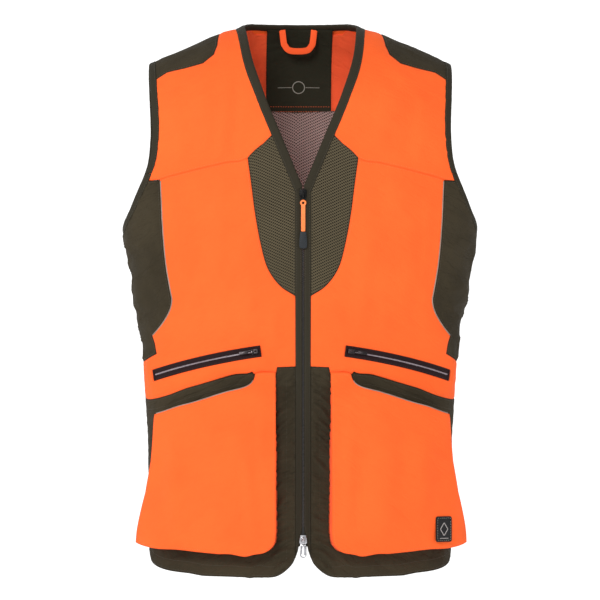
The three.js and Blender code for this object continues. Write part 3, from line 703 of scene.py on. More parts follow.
class Nodes:
    """A material's node tree, with short ways to add and join nodes."""

    def __init__(self, name, roughness=0.8, metallic=0.0, specular=0.5):
        self.material = bpy.data.materials.new(name)
        self.material.use_nodes = True
        self.tree = self.material.node_tree
        self.shader = self.tree.nodes["Principled BSDF"]
        self.shader.inputs["Roughness"].default_value = roughness
        self.shader.inputs["Metallic"].default_value = metallic
        self.shader.inputs["Specular IOR Level"].default_value = specular

    def add(self, kind, **values):
        node = self.tree.nodes.new(kind)
        for key, value in values.items():
            setattr(node, key, value)
        return node

    def join(self, source, target):
        self.tree.links.new(source, target)

    def math(self, operation, a, b=None):
        node = self.add("ShaderNodeMath", operation=operation)
        for socket, value in zip(node.inputs, (a, b)):
            if isinstance(value, bpy.types.NodeSocket):
                self.join(value, socket)
            elif value is not None:
                socket.default_value = value
        return node.outputs[0]

    def mix(self, factor, first, second):
        node = self.add("ShaderNodeMix", data_type="RGBA")
        for socket, value in ((node.inputs[0], factor), (node.inputs[6], first), (node.inputs[7], second)):
            if isinstance(value, bpy.types.NodeSocket):
                self.join(value, socket)
            elif isinstance(value, tuple):
                socket.default_value = (*value, 1)
            else:
                socket.default_value = value
        return node.outputs[2]

    def span(self, value, low, high, out_low=0.0, out_high=1.0):
        node = self.add("ShaderNodeMapRange", interpolation_type="SMOOTHSTEP")
        self.join(value, node.inputs[0])
        for socket, number in zip(list(node.inputs)[1:5], (low, high, out_low, out_high)):
            socket.default_value = number
        return node.outputs[0]

    def noise(self, scale, detail=2.0, roughness=0.5, vector=None):
        node = self.add("ShaderNodeTexNoise")
        node.inputs["Scale"].default_value = scale
        node.inputs["Detail"].default_value = detail
        node.inputs["Roughness"].default_value = roughness
        source = vector or self.add("ShaderNodeTexCoord").outputs["Object"]
        self.join(source, node.inputs["Vector"])
        return node.outputs["Fac"]

    def wave(self, value, pitch):
        """A sine wave over a length."""
        return self.math("SINE", self.math("MULTIPLY", value, 2 * math.pi / pitch))

    def painted_seam_shade(self, base, deep, amount):
        """Painted shade: a colour that deepens towards the seams, by an amount."""
        edge = self.add("ShaderNodeAttribute", attribute_name="seam")
        return self.mix(self.span(edge.outputs["Fac"], 0.0, 0.35, amount, 0.0), base, deep)

    def cloth_axes(self):
        """Warp and weft places in metres, from the flat cloth."""
        split = self.add("ShaderNodeSeparateXYZ")
        self.join(self.add("ShaderNodeUVMap", uv_map="Cloth").outputs[0], split.inputs[0])
        return split.outputs[0], split.outputs[1]

    def bump(self, height, distance, strength=1.0, under=None):
        node = self.add("ShaderNodeBump")
        node.inputs["Distance"].default_value = distance
        node.inputs["Strength"].default_value = strength
        self.join(height, node.inputs["Height"])
        if under is not None:
            self.join(under, node.inputs["Normal"])
        self.join(node.outputs[0], self.shader.inputs["Normal"])
        return node.outputs[0]

    def colour(self, socket):
        self.join(socket, self.shader.inputs["Base Color"])

    def rough(self, socket):
        self.join(socket, self.shader.inputs["Roughness"])


def tint(colour, factor):
    return tuple(min(1.0, c * factor) for c in colour)


def woven(name, colour, deep, pitch=0.9 * MM, roughness=0.82, cloud=0.10, seam=0.5, crinkle=0.8 * MM):
    """Plain woven cloth: crossing yarns, uneven dye, small creases and painted shade that deepens the colour
    in the seams.
    """
    nodes = Nodes(name, roughness, specular=0.12)
    across, down = nodes.cloth_axes()
    yarns = nodes.math("MULTIPLY", nodes.wave(across, pitch), nodes.wave(down, pitch))
    slub = nodes.noise(1400.0, 3.0, 0.6)
    clouds = nodes.noise(14.0, 4.0, 0.55)
    base = nodes.mix(nodes.span(clouds, 0.3, 0.7), tint(colour, 1 - cloud), colour)
    base = nodes.mix(nodes.span(yarns, -1.0, 1.0, 0.0, 0.16), base, deep)
    base = nodes.mix(nodes.span(slub, 0.35, 0.75, 0.0, 0.22), base, tint(colour, 1.12))
    # painted shade: the colour deepens towards the seams
    nodes.colour(nodes.painted_seam_shade(base, deep, seam))
    nodes.rough(nodes.span(slub, 0.2, 0.8, roughness - 0.08, min(1.0, roughness + 0.08)))
    stretched = nodes.add("ShaderNodeCombineXYZ")
    nodes.join(nodes.math("MULTIPLY", across, 16.0), stretched.inputs[0])
    nodes.join(nodes.math("MULTIPLY", down, 42.0), stretched.inputs[1])
    fine = nodes.noise(1.0, 4.0, 0.55, stretched.outputs[0])
    ridge = nodes.math("ABSOLUTE", nodes.math("SUBTRACT", fine, 0.5))
    creases = nodes.bump(nodes.span(ridge, 0.0, 0.09), crinkle, 0.6)
    nodes.bump(nodes.math("ADD", yarns, slub), 0.10 * MM, 0.7, creases)
    return nodes.material


def netted(name, thread, hole, across_pitch=4.4 * MM, down_pitch=3.8 * MM):
    """Knitted mesh: a lattice of threads round small diamond holes, with painted shade in the holes and
    towards the seams.
    """
    nodes = Nodes(name, 0.85, specular=0.12)
    across, down = nodes.cloth_axes()
    a = nodes.math("MULTIPLY", across, math.pi / across_pitch)
    b = nodes.math("MULTIPLY", down, math.pi / down_pitch)
    one = nodes.math("ABSOLUTE", nodes.math("SINE", nodes.math("ADD", a, b)))
    two = nodes.math("ABSOLUTE", nodes.math("SINE", nodes.math("SUBTRACT", a, b)))
    cell = nodes.math("MULTIPLY", one, two)
    open_part = nodes.span(cell, 0.42, 0.72)
    fuzz = nodes.noise(900.0, 3.0, 0.6)
    clouds = nodes.noise(18.0, 3.0, 0.5)
    base = nodes.mix(nodes.span(clouds, 0.3, 0.7), tint(thread, 0.88), thread)
    base = nodes.mix(nodes.span(fuzz, 0.3, 0.7, 0.0, 0.35), base, tint(thread, 1.3))
    # painted shade: the holes take a dark colour instead of showing what lies behind them
    base = nodes.mix(open_part, base, hole)
    # painted shade: the colour deepens to the dark hole colour towards the seams
    nodes.colour(nodes.painted_seam_shade(base, hole, 0.5))
    filaments = nodes.math("MULTIPLY", fuzz, 0.25)
    nodes.bump(nodes.math("SUBTRACT", filaments, open_part), 0.5 * MM, 0.8)
    return nodes.material


def ribbed(name, colour, deep, roughness=0.75):
    """Woven tape with ribs across it."""
    nodes = Nodes(name, roughness, specular=0.15)
    across, down = nodes.cloth_axes()
    ends = nodes.math("MULTIPLY", nodes.wave(down, 0.7 * MM), 0.5)
    yarns = nodes.math("ADD", nodes.wave(across, 1.1 * MM), ends)
    fuzz = nodes.noise(1200.0, 3.0, 0.6)
    base = nodes.mix(nodes.span(yarns, -1.5, 1.0, 0.35, 0.0), colour, deep)
    base = nodes.mix(nodes.span(fuzz, 0.35, 0.75, 0.0, 0.25), base, tint(colour, 1.15))
    nodes.colour(base)
    nodes.bump(nodes.math("ADD", yarns, fuzz), 0.12 * MM, 0.7)
    return nodes.material


def thread_material(name, colour):
    """Twisted sewing thread."""
    nodes = Nodes(name, 0.6)
    twist = nodes.noise(2600.0, 2.0, 0.5)
    nodes.colour(nodes.mix(nodes.span(twist, 0.3, 0.7), tint(colour, 0.72), colour))
    nodes.bump(twist, 0.05 * MM, 0.6)
    return nodes.material


def metal(name, colour, roughness, worn):
    """Plated or lacquered metal with fine scratches and a worn sheen."""
    nodes = Nodes(name, roughness, metallic=1.0)
    scratches = nodes.noise(700.0, 6.0, 0.7)
    smudges = nodes.noise(120.0, 3.0, 0.5)
    nodes.colour(nodes.mix(nodes.span(scratches, 0.55, 0.8), colour, worn))
    nodes.rough(nodes.span(smudges, 0.3, 0.7, roughness * 0.7, min(1.0, roughness * 1.5)))
    nodes.bump(scratches, 0.02 * MM, 0.5)
    return nodes.material


def rubber(name, colour, roughness=0.55):
    """Moulded rubber with a fine grain."""
    nodes = Nodes(name, roughness, specular=0.25)
    grain = nodes.noise(1500.0, 2.0, 0.5)
    dust = nodes.noise(90.0, 4.0, 0.6)
    nodes.colour(nodes.mix(nodes.span(dust, 0.45, 0.8, 0.0, 0.4), colour, tint(colour, 1.6)))
    nodes.rough(nodes.span(dust, 0.3, 0.7, roughness - 0.1, roughness + 0.12))
    nodes.bump(grain, 0.04 * MM, 0.6)
    return nodes.material


def glass_bead_tape(name):
    """Reflective piping: a silver grey film of tiny glass beads."""
    nodes = Nodes(name, 0.5, specular=0.15)
    beads = nodes.noise(2200.0, 2.0, 0.5)
    dull = nodes.noise(60.0, 3.0, 0.5)
    nodes.colour(nodes.mix(nodes.span(dull, 0.3, 0.7), (0.25, 0.175, 0.14), (0.33, 0.24, 0.195)))
    nodes.rough(nodes.span(beads, 0.3, 0.7, 0.3, 0.5))
    nodes.bump(beads, 0.05 * MM, 0.6)
    return nodes.material


def plastic(name, colour, roughness=0.35):
    """Moulded zip plastic."""
    nodes = Nodes(name, roughness)
    uneven = nodes.noise(400.0, 3.0, 0.5)
    nodes.colour(nodes.mix(nodes.span(uneven, 0.3, 0.7), tint(colour, 0.8), colour))
    nodes.rough(nodes.span(uneven, 0.3, 0.7, roughness - 0.08, roughness + 0.12))
    nodes.bump(uneven, 0.03 * MM, 0.4)
    return nodes.material


ORANGE = woven("orange_shell", (1.00, 0.138, 0.026), (0.84, 0.038, 0.0070), seam=0.2, crinkle=0.35 * MM)
# painted shade: a redder copy of the shell orange, for the neck facing and the gusset that lie in shade
ORANGE_IN_SHADE = woven("orange_in_shade", (1.00, 0.125, 0.042), (0.82, 0.032, 0.0070), seam=0.2)
OLIVE = woven("olive_shell", (0.045, 0.035, 0.020), (0.011, 0.0091, 0.0056), roughness=0.86,
              crinkle=1.6 * MM, cloud=0.3)
OLIVE_TAPE = ribbed("olive_binding", (0.029, 0.024, 0.014), (0.011, 0.010, 0.0070))
LABEL_CLOTH = woven("olive_label", (0.025, 0.025, 0.015), (0.013, 0.012, 0.0077), pitch=1.1 * MM)
# the second colour of each mesh is the painted shade in its holes
OLIVE_NET = netted("olive_mesh", (0.087, 0.070, 0.041), (0.0049, 0.0042, 0.0028))
LINING_NET = netted("lining_mesh", (0.35, 0.25, 0.23), (0.028, 0.017, 0.015))
WELT_TAPE = ribbed("welt_tape", (0.015, 0.0049, 0.0056), (0.0070, 0.0021, 0.0028), roughness=0.7)
ORANGE_TAPE = ribbed("orange_tape", (1.00, 0.122, 0.028), (0.79, 0.038, 0.0084))
REFLECTIVE = glass_bead_tape("reflective")
COIL = plastic("zip_coil", (0.35, 0.29, 0.32), 0.3)
CHAIN = plastic("zip_chain", (0.014, 0.013, 0.013), 0.35)
BLACK = metal("black_metal", (0.014, 0.014, 0.014), 0.35, (0.112, 0.112, 0.112))
SILVER = metal("silver_metal", (0.46, 0.46, 0.48), 0.22, (0.29, 0.29, 0.31))
GUNMETAL = metal("gunmetal", (0.042, 0.036, 0.038), 0.35, (0.154, 0.140, 0.147))
GREY_RUBBER = rubber("grey_rubber", (0.014, 0.017, 0.020), 0.38)
BLACK_RUBBER = rubber("black_rubber", (0.0063, 0.0063, 0.0070))
ORANGE_THREAD = thread_material("orange_thread", (1.0, 0.17, 0.040))
OLIVE_THREAD = thread_material("olive_thread", (0.062, 0.052, 0.034))
GREY_THREAD = thread_material("grey_thread", (0.33, 0.33, 0.28))
DARK_THREAD = thread_material("dark_thread", (0.028, 0.014, 0.014))
PULL_ORANGE = plastic("pull_orange", (1.0, 0.230, 0.045), 0.45)
BADGE_MARK = rubber("badge_mark", (0.32, 0.29, 0.28), 0.45)


# ---- hard pieces ----

SHARP_EDGE = math.radians(35)  # faces that meet at more than this are shaded flat
BACKWARDS = (0, 1.0, 0)
LEFTWARDS = (1.0, 0, 0)


def prism(outline, low, high, bevel=0.2 * MM, segments=2):
    """A bevelled plate: an outline in XZ, in metres, from one y to another. Points and faces."""
    made = bmesh.new()
    corners = [made.verts.new((x, low, z)) for x, z in outline]
    face = made.faces.new(corners)
    grown = bmesh.ops.extrude_face_region(made, geom=[face])
    moved = [v for v in grown["geom"] if isinstance(v, bmesh.types.BMVert)]
    bmesh.ops.translate(made, verts=moved, vec=(0, high - low, 0))
    bmesh.ops.recalc_face_normals(made, faces=made.faces)
    if bevel:
        bmesh.ops.bevel(made, geom=list(made.edges), offset=bevel, segments=segments, affect="EDGES",
                        profile=0.6)
    made.verts.index_update()
    points = np.array([tuple(v.co) for v in made.verts])
    faces = [tuple(v.index for v in f.verts) for f in made.faces]
    made.free()
    return points, faces


def rounded(width, height, corner, steps=5, centre=(0, 0)):
    """A rounded rectangle's outline in XZ."""
    points = []
    for turn, (x, z) in enumerate([(1, 1), (-1, 1), (-1, -1), (1, -1)]):
        for i in range(steps + 1):
            angle = (turn + i / steps) * math.pi / 2
            points.append((centre[0] + x * (width / 2 - corner) + corner * math.cos(angle),
                           centre[1] + z * (height / 2 - corner) + corner * math.sin(angle)))
    return points


def shield(shoulder, tail, length, steps=5):
    """A slider's outline: round shoulders at the top and a narrower tail."""
    half = length / 2
    right = [(tail * 0.8, -half), (tail, -half * 0.85), (shoulder * 0.97, half * 0.1)]
    for i in range(steps + 1):
        angle = i / steps * math.pi / 2
        right.append((shoulder * (0.55 + 0.45 * math.cos(angle)), half * (0.45 + 0.55 * math.sin(angle))))
    return right + [(-x, z) for x, z in right[::-1]]


def moved_by(part, matrix):
    """A part with its points moved by a matrix."""
    return placed(matrix, part[0]), part[1]


def hard_piece(name, body, node, parts, material, side="left"):
    """One object of hard parts, each (points, faces) or (points, faces, material number)."""
    rows = [(part[0], part[1], None, None, part[2] if len(part) > 2 else 0) for part in parts]
    points, faces, _, _, slots = join_parts(rows)
    made = outwards(mesh_object(name, points, faces, material, None, side, None, slots))
    made.data.set_sharp_from_angle(angle=SHARP_EDGE)
    place_piece(made, [node], body)


def hoop(points, size, sides=8):
    """A closed ring of wire that stands in XZ."""
    return tube(points, BACKWARDS, size, sides, closed=True)


def slider_bridge(points, size):
    """The arched bridge of a slider, in YZ, through (y, z) points."""
    path = np.array(curve([(0, y, z) for y, z in points], 4))
    return tube(path, LEFTWARDS, size)


def both_sides(shape):
    """A shape on the left and on the right of the middle."""
    return [shape(way) for way in (-1, 1)]


ZIP_Y = -CHEST_DEPTH
PLATE_Y = ZIP_Y - 2.0 * MM
PULL_Y = PLATE_Y - 0.9 * MM
MAIN_Z = sum(corner.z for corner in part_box("main_slider")) / 2
BOTTOM_Z = sum(corner.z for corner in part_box("bottom_slider")) / 2


def slider_parts(length, z, flipped=False):
    """A main zip slider at a height: plates, post and the arched bridge."""
    place = Matrix.Translation((0, 0, z)) @ Matrix.Diagonal((1, 1, -1 if flipped else 1, 1))
    top = prism(shield(5 * MM, 3.6 * MM, length), PLATE_Y, PLATE_Y + 1.6 * MM, 0.45 * MM, 3)
    back = prism(shield(3 * MM, 2.6 * MM, length - 2 * MM), ZIP_Y + 5.3 * MM, ZIP_Y + 6.5 * MM, 0.3 * MM)
    post = prism(rounded(1.6 * MM, length - 4 * MM, 0.7 * MM), PLATE_Y + 0.4 * MM, ZIP_Y + 5.6 * MM, 0)
    raised = prism(shield(3.4 * MM, 2.2 * MM, length - 4.4 * MM), PLATE_Y - 0.35 * MM, PLATE_Y + 0.4 * MM,
                   0.25 * MM)
    reach = length / 2 - 3 * MM
    half = [(0.2 * MM, reach), (-1.6 * MM, reach), (-2.7 * MM, reach - 1.1 * MM)]
    half = [(PLATE_Y + y, z) for y, z in half]
    path = [*half, (PLATE_Y - 2.8 * MM, 0), *[(y, -z) for y, z in half[::-1]]]
    arch = slider_bridge(path, (0.45 * MM, 1.1 * MM))
    return [moved_by(part, place) for part in (top, back, post, raised, arch)]


def pull_bar(z):
    """The bar by which a pull of the main zip hangs in its bridge."""
    return tube([(x, PULL_Y, z) for x in np.linspace(-3 * MM, 3 * MM, 5)], BACKWARDS, 0.55 * MM, 10)


def make_main_pull():
    """The wire arms, eye and orange strap of the upper pull, and its rubber grip."""
    cord_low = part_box("main_pull_cord")[0].z
    legs = both_sides(lambda way: tube(
        curve([(way * 2.5 * MM, PULL_Y, MAIN_Z), (way * 2.7 * MM, PULL_Y, MAIN_Z - 4 * MM),
               (way * 2.0 * MM, PULL_Y, MAIN_Z - 7.6 * MM)], 4), BACKWARDS, (0.55 * MM, 0.6 * MM)))
    eye_z = MAIN_Z - 10.5 * MM
    turns = np.linspace(0, 2 * math.pi, 24, endpoint=False)
    eye = hoop([(2.85 * MM * math.cos(t), PULL_Y, eye_z + 2.85 * MM * math.sin(t)) for t in turns],
               (1.25 * MM, 0.95 * MM), 10)
    strap_top = eye_z - 2.6 * MM
    length, middle = strap_top - cord_low, (strap_top + cord_low) / 2
    strap = prism(rounded(5.4 * MM, length, 1 * MM, 3, (0, middle)), PULL_Y - 0.95 * MM, PULL_Y + 0.75 * MM,
                  0.5 * MM, 3)
    ridges = [prism(rounded(0.8 * MM, length - 3 * MM, 0.35 * MM, 3, (x, middle)), PULL_Y - 1.2 * MM,
                    PULL_Y - 0.8 * MM, 0.15 * MM) for x in (-1.8 * MM, 0, 1.8 * MM)]
    wires = [(*part, 1) for part in (pull_bar(MAIN_Z), *legs)]
    hard_piece("main_pull_strap", "main_pull", "main_pull_cord",
               [*wires, eye, strap, *ridges], [PULL_ORANGE, BLACK])

    low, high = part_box("main_pull_tip")
    grip = curve([(3.9, 0), (4.6, -6), (5.1, -13), (5.1, -18.5), (3.6, -21), (0, -21.8)], 3)
    outline = [(x * MM, high.z + z * MM) for x, z in grip + [(-x, z) for x, z in grip[-2::-1]]]
    grip_part = prism(outline, low.y + 0.1 * MM, high.y, 0.9 * MM, 3)
    ribs = [prism(rounded(6.4 * MM, 0.9 * MM, 0.4 * MM, 3, (0, high.z - (6 + 2.4 * n) * MM)),
                  low.y - 0.15 * MM, low.y + 0.5 * MM, 0.2 * MM) for n in range(5)]
    hard_piece("main_pull_grip", "main_pull", "main_pull_tip",
               [grip_part, *ribs], GREY_RUBBER)


def make_bottom_pull():
    """The drop-shaped ring pull of the lower slider."""
    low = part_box("bottom_pull")[0].z
    top = BOTTOM_Z - 4.6 * MM
    radius = 4.6 * MM
    ring = []
    for i in range(28):
        angle = 2 * math.pi * i / 28
        rise = max(0.0, math.sin(angle))
        wide = 4.5 * MM - 1.6 * MM * rise
        tall = radius if math.sin(angle) < 0 else top - low - radius
        ring.append((0.8 * wide * math.cos(angle), PULL_Y, low + radius + 0.81 * tall * math.sin(angle)))
    arms = both_sides(lambda way: tube(
        [(way * 2.5 * MM, PULL_Y, BOTTOM_Z), (way * 2.4 * MM, PULL_Y, BOTTOM_Z - 3 * MM),
         (way * 1.6 * MM, PULL_Y, top - 0.4 * MM)], BACKWARDS, 0.6 * MM))
    hard_piece("bottom_pull_ring", "bottom_pull", "bottom_pull",
               [hoop(ring, (0.85 * MM, 0.62 * MM), 10), pull_bar(BOTTOM_Z), *arms], SILVER)


def make_main_zip():
    """Sliders, pulls, and the fittings at the bottom of the main zip."""
    hard_piece("main_slider_body", "main_slider", "main_slider",
               slider_parts(14 * MM, MAIN_Z), BLACK)
    hard_piece("bottom_slider_body", "bottom_slider", "bottom_slider",
               slider_parts(12 * MM, BOTTOM_Z, True), SILVER)
    make_main_pull()
    make_bottom_pull()
    for node, body in (("insertion_pin", "front_right"), ("retainer_box", "front_left")):
        low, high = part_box(node)
        centre = ((low.x + high.x) / 2, (low.z + high.z) / 2)
        block = prism(rounded(high.x - low.x, high.z - low.z, 0.8 * MM, 3, centre), low.y, high.y, 0.3 * MM)
        hard_piece(f"{node}_metal", body, node, [block], SILVER)


def make_pocket_slider(side):
    """The small slider of a zipped pocket and its pull, at the inner end of the arc."""
    start = Matrix.Rotation(8 * MM / ARC_RADIUS, 4, "Z") @ Matrix.Translation((ARC_RADIUS, 0, 0))
    # the parts are drawn in XZ with -Y out of the pocket and Z against the arc, and then turned to lie on it
    place = ARC_FRAME @ start @ Matrix(((0, -1, 0, 0), (0, 0, -1, 0), (1, 0, 0, 0), (0, 0, 0, 1)))
    top = prism(shield(3.2 * MM, 2.5 * MM, 9 * MM), -4.1 * MM, -2.7 * MM, 0.4 * MM, 3)
    flanges = both_sides(lambda way: prism(rounded(0.9 * MM, 7.6 * MM, 0.4 * MM, 3, (way * 2.8 * MM, 0)),
                                           -2.9 * MM, -1.5 * MM, 0.2 * MM))
    path = np.array([(-3.9, 2.6), (-5.5, 2.2), (-6.1, 0.6), (-5.9, -2.0), (-3.9, -3.0)]) * MM
    arch = slider_bridge(path, (0.4 * MM, 0.9 * MM))
    node = f"pocket_slider_{side}"
    hard_piece(f"{node}_body", node, node,
               [moved_by(part, place) for part in (top, *flanges, arch)], GUNMETAL, side)

    pin_z = -1.5 * MM
    tab_middle = (0, pin_z - 12.6 * MM)
    pin = tube([(x * MM, -5.0 * MM, pin_z) for x in (-1.9, 0, 1.9)], BACKWARDS, 0.35 * MM)
    arms = both_sides(lambda way: prism(
        rounded(0.8 * MM, 8 * MM, 0.35 * MM, 3, (way * 1.75 * MM, pin_z - 3.6 * MM)),
        -5.4 * MM, -4.6 * MM, 0.15 * MM))
    tab = prism(rounded(4.4 * MM, 12 * MM, 1.5 * MM, 4, tab_middle), -5.45 * MM, -4.55 * MM, 0.25 * MM)
    rim = prism(rounded(2.6 * MM, 8 * MM, 1.0 * MM, 4, tab_middle), -5.65 * MM, -5.3 * MM, 0.15 * MM)
    node = f"pocket_pull_{side}"
    hard_piece(f"{node}_tab", node, node,
               [moved_by(part, place) for part in (pin, *arms, tab, rim)], GUNMETAL, side)


def make_badge():
    """The moulded rubber badge: a rounded plate with a raised rim, a plain lozenge and a bar."""
    face = next(mount for mount in frame["record"]["mounts"] if mount["name"] == "badge_face")
    turn = math.atan2(face["axis"][0], -face["axis"][1])
    place = Matrix.Translation(face["pos_m"]) @ Matrix.Rotation(turn, 4, "Z")
    plate = prism(rounded(26 * MM, 33 * MM, 3 * MM), 0.1 * MM, 1.5 * MM, 0.3 * MM)
    rim = [(x, 0.05 * MM, z) for x, z in rounded(23.4 * MM, 30.4 * MM, 2.4 * MM, 6)]
    rim = hoop(rim, (0.7 * MM, 0.4 * MM))
    tips = np.array([(6.2, 0.05, 0), (0, 0.05, 8.4), (-6.2, 0.05, 0), (0, 0.05, -8.4)]) * MM
    sides = [a * (1 - share) + b * share for a, b in zip(tips, np.roll(tips, -1, axis=0))
             for share in (0.06, 0.5, 0.94)]
    lozenge = hoop(sides, (0.6 * MM, 0.4 * MM))
    bar = prism([(-7 * MM, -12.2 * MM), (7 * MM, -12.2 * MM), (7 * MM, -11.4 * MM), (-7 * MM, -11.4 * MM)],
                -0.25 * MM, 0.3 * MM, 0.15 * MM)
    edge = np.array([(x, -0.02 * MM, z) for x, z in rounded(21.6 * MM, 28.6 * MM, 2 * MM, 6)])
    spots, ways = walk(np.concatenate([edge, edge[:1]]), STITCH_PITCH)
    threads = stitch_parts(spots, ways, np.tile([0, -1.0, 0], (len(spots), 1)))
    parts = [(*moved_by(part, place), number)
             for part, number in ((plate, 0), (rim, 0), (lozenge, 1), (bar, 1), (threads, 2))]
    hard_piece("badge", "cargo_left", "badge_patch", parts,
               [BLACK_RUBBER, BADGE_MARK, GREY_THREAD])


# ---- cloth pieces ----

NECK_EDGE = shifted(NECK_LINE, UNDER_BINDING * MM)
ARMHOLE_EDGE = shifted(ARMHOLE_LINE, UNDER_BINDING * MM)
NECK_SHOULDER = lay(76, TOP)
ARMHOLE_SHOULDER = lay(193, TOP)
CHEST_END = (206, -198)  # where the chest seam runs under the armhole's binding
FACING_EDGE = 9.3  # the front pieces end here, under the zip facing
V_BOTTOM = lay(FACING_EDGE, -193)
FOLDS = {
    "yoke_left": [((118, -75), (96, -185), 15, 2.6), ((160, -80), (150, -190), 12, 2.2),
                  ((185, -110), (178, -180), 7, 1.6)],
    "yoke_right": [((98, -60), (106, -190), 9, 3.4), ((130, -70), (126, -175), 12, 2.4),
                   ((165, -80), (158, -180), 13, 2.0)],
    "front_left": [((120, -190), (150, -335), 17, 3.2), ((85, -240), (72, -400), 13, 2.4),
                   ((165, -215), (160, -330), 7, 1.8), ((30, -360), (80, -420), 9, 1.8)],
    "front_right": [((103, -180), (112, -335), 14, 3.2), ((150, -215), (158, -340), 15, 2.6),
                    ((78, -290), (60, -412), 12, 2.2), ((30, -350), (50, -425), 8, 1.6)],
    "cargo_left": [((160, -520), (150, -650), 15, 3.6), ((112, -500), (95, -655), 17, 3.2),
                   ((62, -490), (54, -640), 9, 2.6)],
    "cargo_right": [((168, -520), (163, -645), 12, 4.6), ((74, -550), (66, -655), 7, 3.0),
                    ((120, -500), (112, -655), 18, 3.0), ((50, -480), (54, -570), 8, 2.0),
                    ((58, -600), (100, -640), 5, 1.6)],
    "side": [((178, -230), (228, -262), 6, 2.2), ((184, -290), (226, -276), 7, 2.4),
             ((178, -320), (218, -340), 6, 2.4), ((182, -365), (214, -352), 6, 2.2)],
}


def stretch(line, start, end):
    """The part of a flat line between the points nearest to two flat places."""
    first, last = (int(np.linalg.norm(line - np.array(place), axis=1).argmin()) for place in (start, end))
    return line[first : last + 1] if first <= last else line[last : first + 1][::-1]


def across(line):
    """Flat places mirrored from the wearer's left to the right, in the other order."""
    return np.stack([-line[:, 0], line[:, 1]], axis=1)[::-1]


def across_back(line):
    """Flat places of the back mirrored over the centre back, in the other order."""
    return np.stack([2 * BACK_S - line[:, 0], line[:, 1]], axis=1)[::-1]


def behind(place):
    """The flat place on the back opposite one on the front."""
    return (BACK_S - place[0], place[1])


def place_piece(made, nodes, body=None):
    """Hides the CAD parts that a piece replaces, and hangs it on one body, or bakes it into the model's
    frame when no body is given.
    """
    if body is not None:
        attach(made, body)
    else:
        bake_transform(made)
    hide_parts(*nodes)


def cloth_piece(made, nodes, body=None, flat=None):
    """A piece of cloth, placed like any piece; the size that it was cut to is worked out when not given, but
    not kept.
    """
    place_piece(made, nodes, body)
    if flat is None:
        width, height, area = made["flat_size"]
        area = min(area, width * height)
        flat = (width, height)
        if area < 0.31 * width * height:
            flat = (area / height, height)
            area = None


def grown_sheet(name, parts, materials, side="left"):
    """One object of cloth parts built by cloth_strip, thread_on and tube."""
    points, faces, uv, marks, slots = join_parts(parts)
    return outwards(mesh_object(name, points, faces, materials, uv, side, marks, slots))


def length_of(line):
    return float(np.linalg.norm(np.diff(line, axis=0), axis=1).sum())


def make_chest(side):
    """Yoke, mesh panel and front panel of one front."""
    seed = 11 if side == "left" else 47
    loop = np.concatenate([
        stretch(NECK_EDGE, lay(*MESH_TOP[0]), NECK_SHOULDER), flat(PATCH_EDGE),
        stretch(ARMHOLE_EDGE, lay(*PATCH_EDGE[-1]), lay(*CHEST_END)), flat(CHEST_SEAM)[::-1],
        flat(MESH_TOP)[::-1]])
    made = panel(f"yoke_{side}_cloth", loop, ORANGE, side, seed=seed, folds=FOLDS[f"yoke_{side}"],
                 thread=ORANGE_THREAD, stitches=(2.4 * MM,))
    cloth_piece(made, [f"yoke_{side}"])

    inner = flat([(FACING_EDGE, -347), (FACING_EDGE, -270), (FACING_EDGE, -193)])
    loop = np.concatenate([flat(MESH_TOP), flat(MESH_SIDE[1:]), inner,
                           stretch(NECK_EDGE, V_BOTTOM, lay(*MESH_TOP[0]))])
    made = panel(f"mesh_panel_{side}_cloth", loop, OLIVE_NET, side, seed=seed + 3, wave=0.5 * MM,
                 thickness=LINING, thread=OLIVE_THREAD, stitches=(2.2 * MM,))
    cloth_piece(made, [f"mesh_panel_{side}"])

    span = np.linspace(0, ARC_SPAN, 40)
    reach = WELT_HEIGHT / 2 + 0.3 * MM
    rim = np.concatenate([on_arc(span, reach), on_arc(span[::-1], -reach)])
    hole = flat(rim[:, [0, 2]] / MM)

    def over_welt(moved, out, gap, base):
        """Draws the cloth onto the welt's cylinder close to it."""
        local = placed(ARC_FRAME.inverted(), base)
        radius = np.hypot(local[:, 0], local[:, 1])
        angle = np.arctan2(local[:, 1], local[:, 0])
        beyond = np.maximum(np.maximum(-angle, angle - ARC_SPAN), 0) * ARC_RADIUS
        away = np.hypot(beyond, np.maximum(np.abs(local[:, 2]) - WELT_HEIGHT / 2, 0))
        share = 1 - ramp(away, 1 * MM, 24 * MM)
        radial = np.stack([local[:, 0] / radius, local[:, 1] / radius, np.zeros(len(local))], axis=1)
        radial = radial @ np.array(ARC_FRAME)[:3, :3].T
        return moved + radial * ((ARC_RADIUS + 0.5 * MM - radius) * share)[:, None]

    loop = np.concatenate([
        flat(CHEST_SEAM), flat([CHEST_SEAM[-1]] + SIDE_SEAM[1:]), flat([(SIDE, -432), (SIDE, -477.5)]),
        flat(MOUTH_SEAM)[::-1], flat([(FACING_EDGE, -392), (FACING_EDGE, -347)]), flat(MESH_SIDE)[::-1]])
    made = panel(f"front_panel_{side}_cloth", loop, ORANGE, side, holes=[hole], seed=seed + 7,
                 folds=FOLDS[f"front_{side}"], thread=ORANGE_THREAD, stitches=(2.4 * MM,), shape=over_welt)
    cloth_piece(made, [f"front_panel_{side}"])


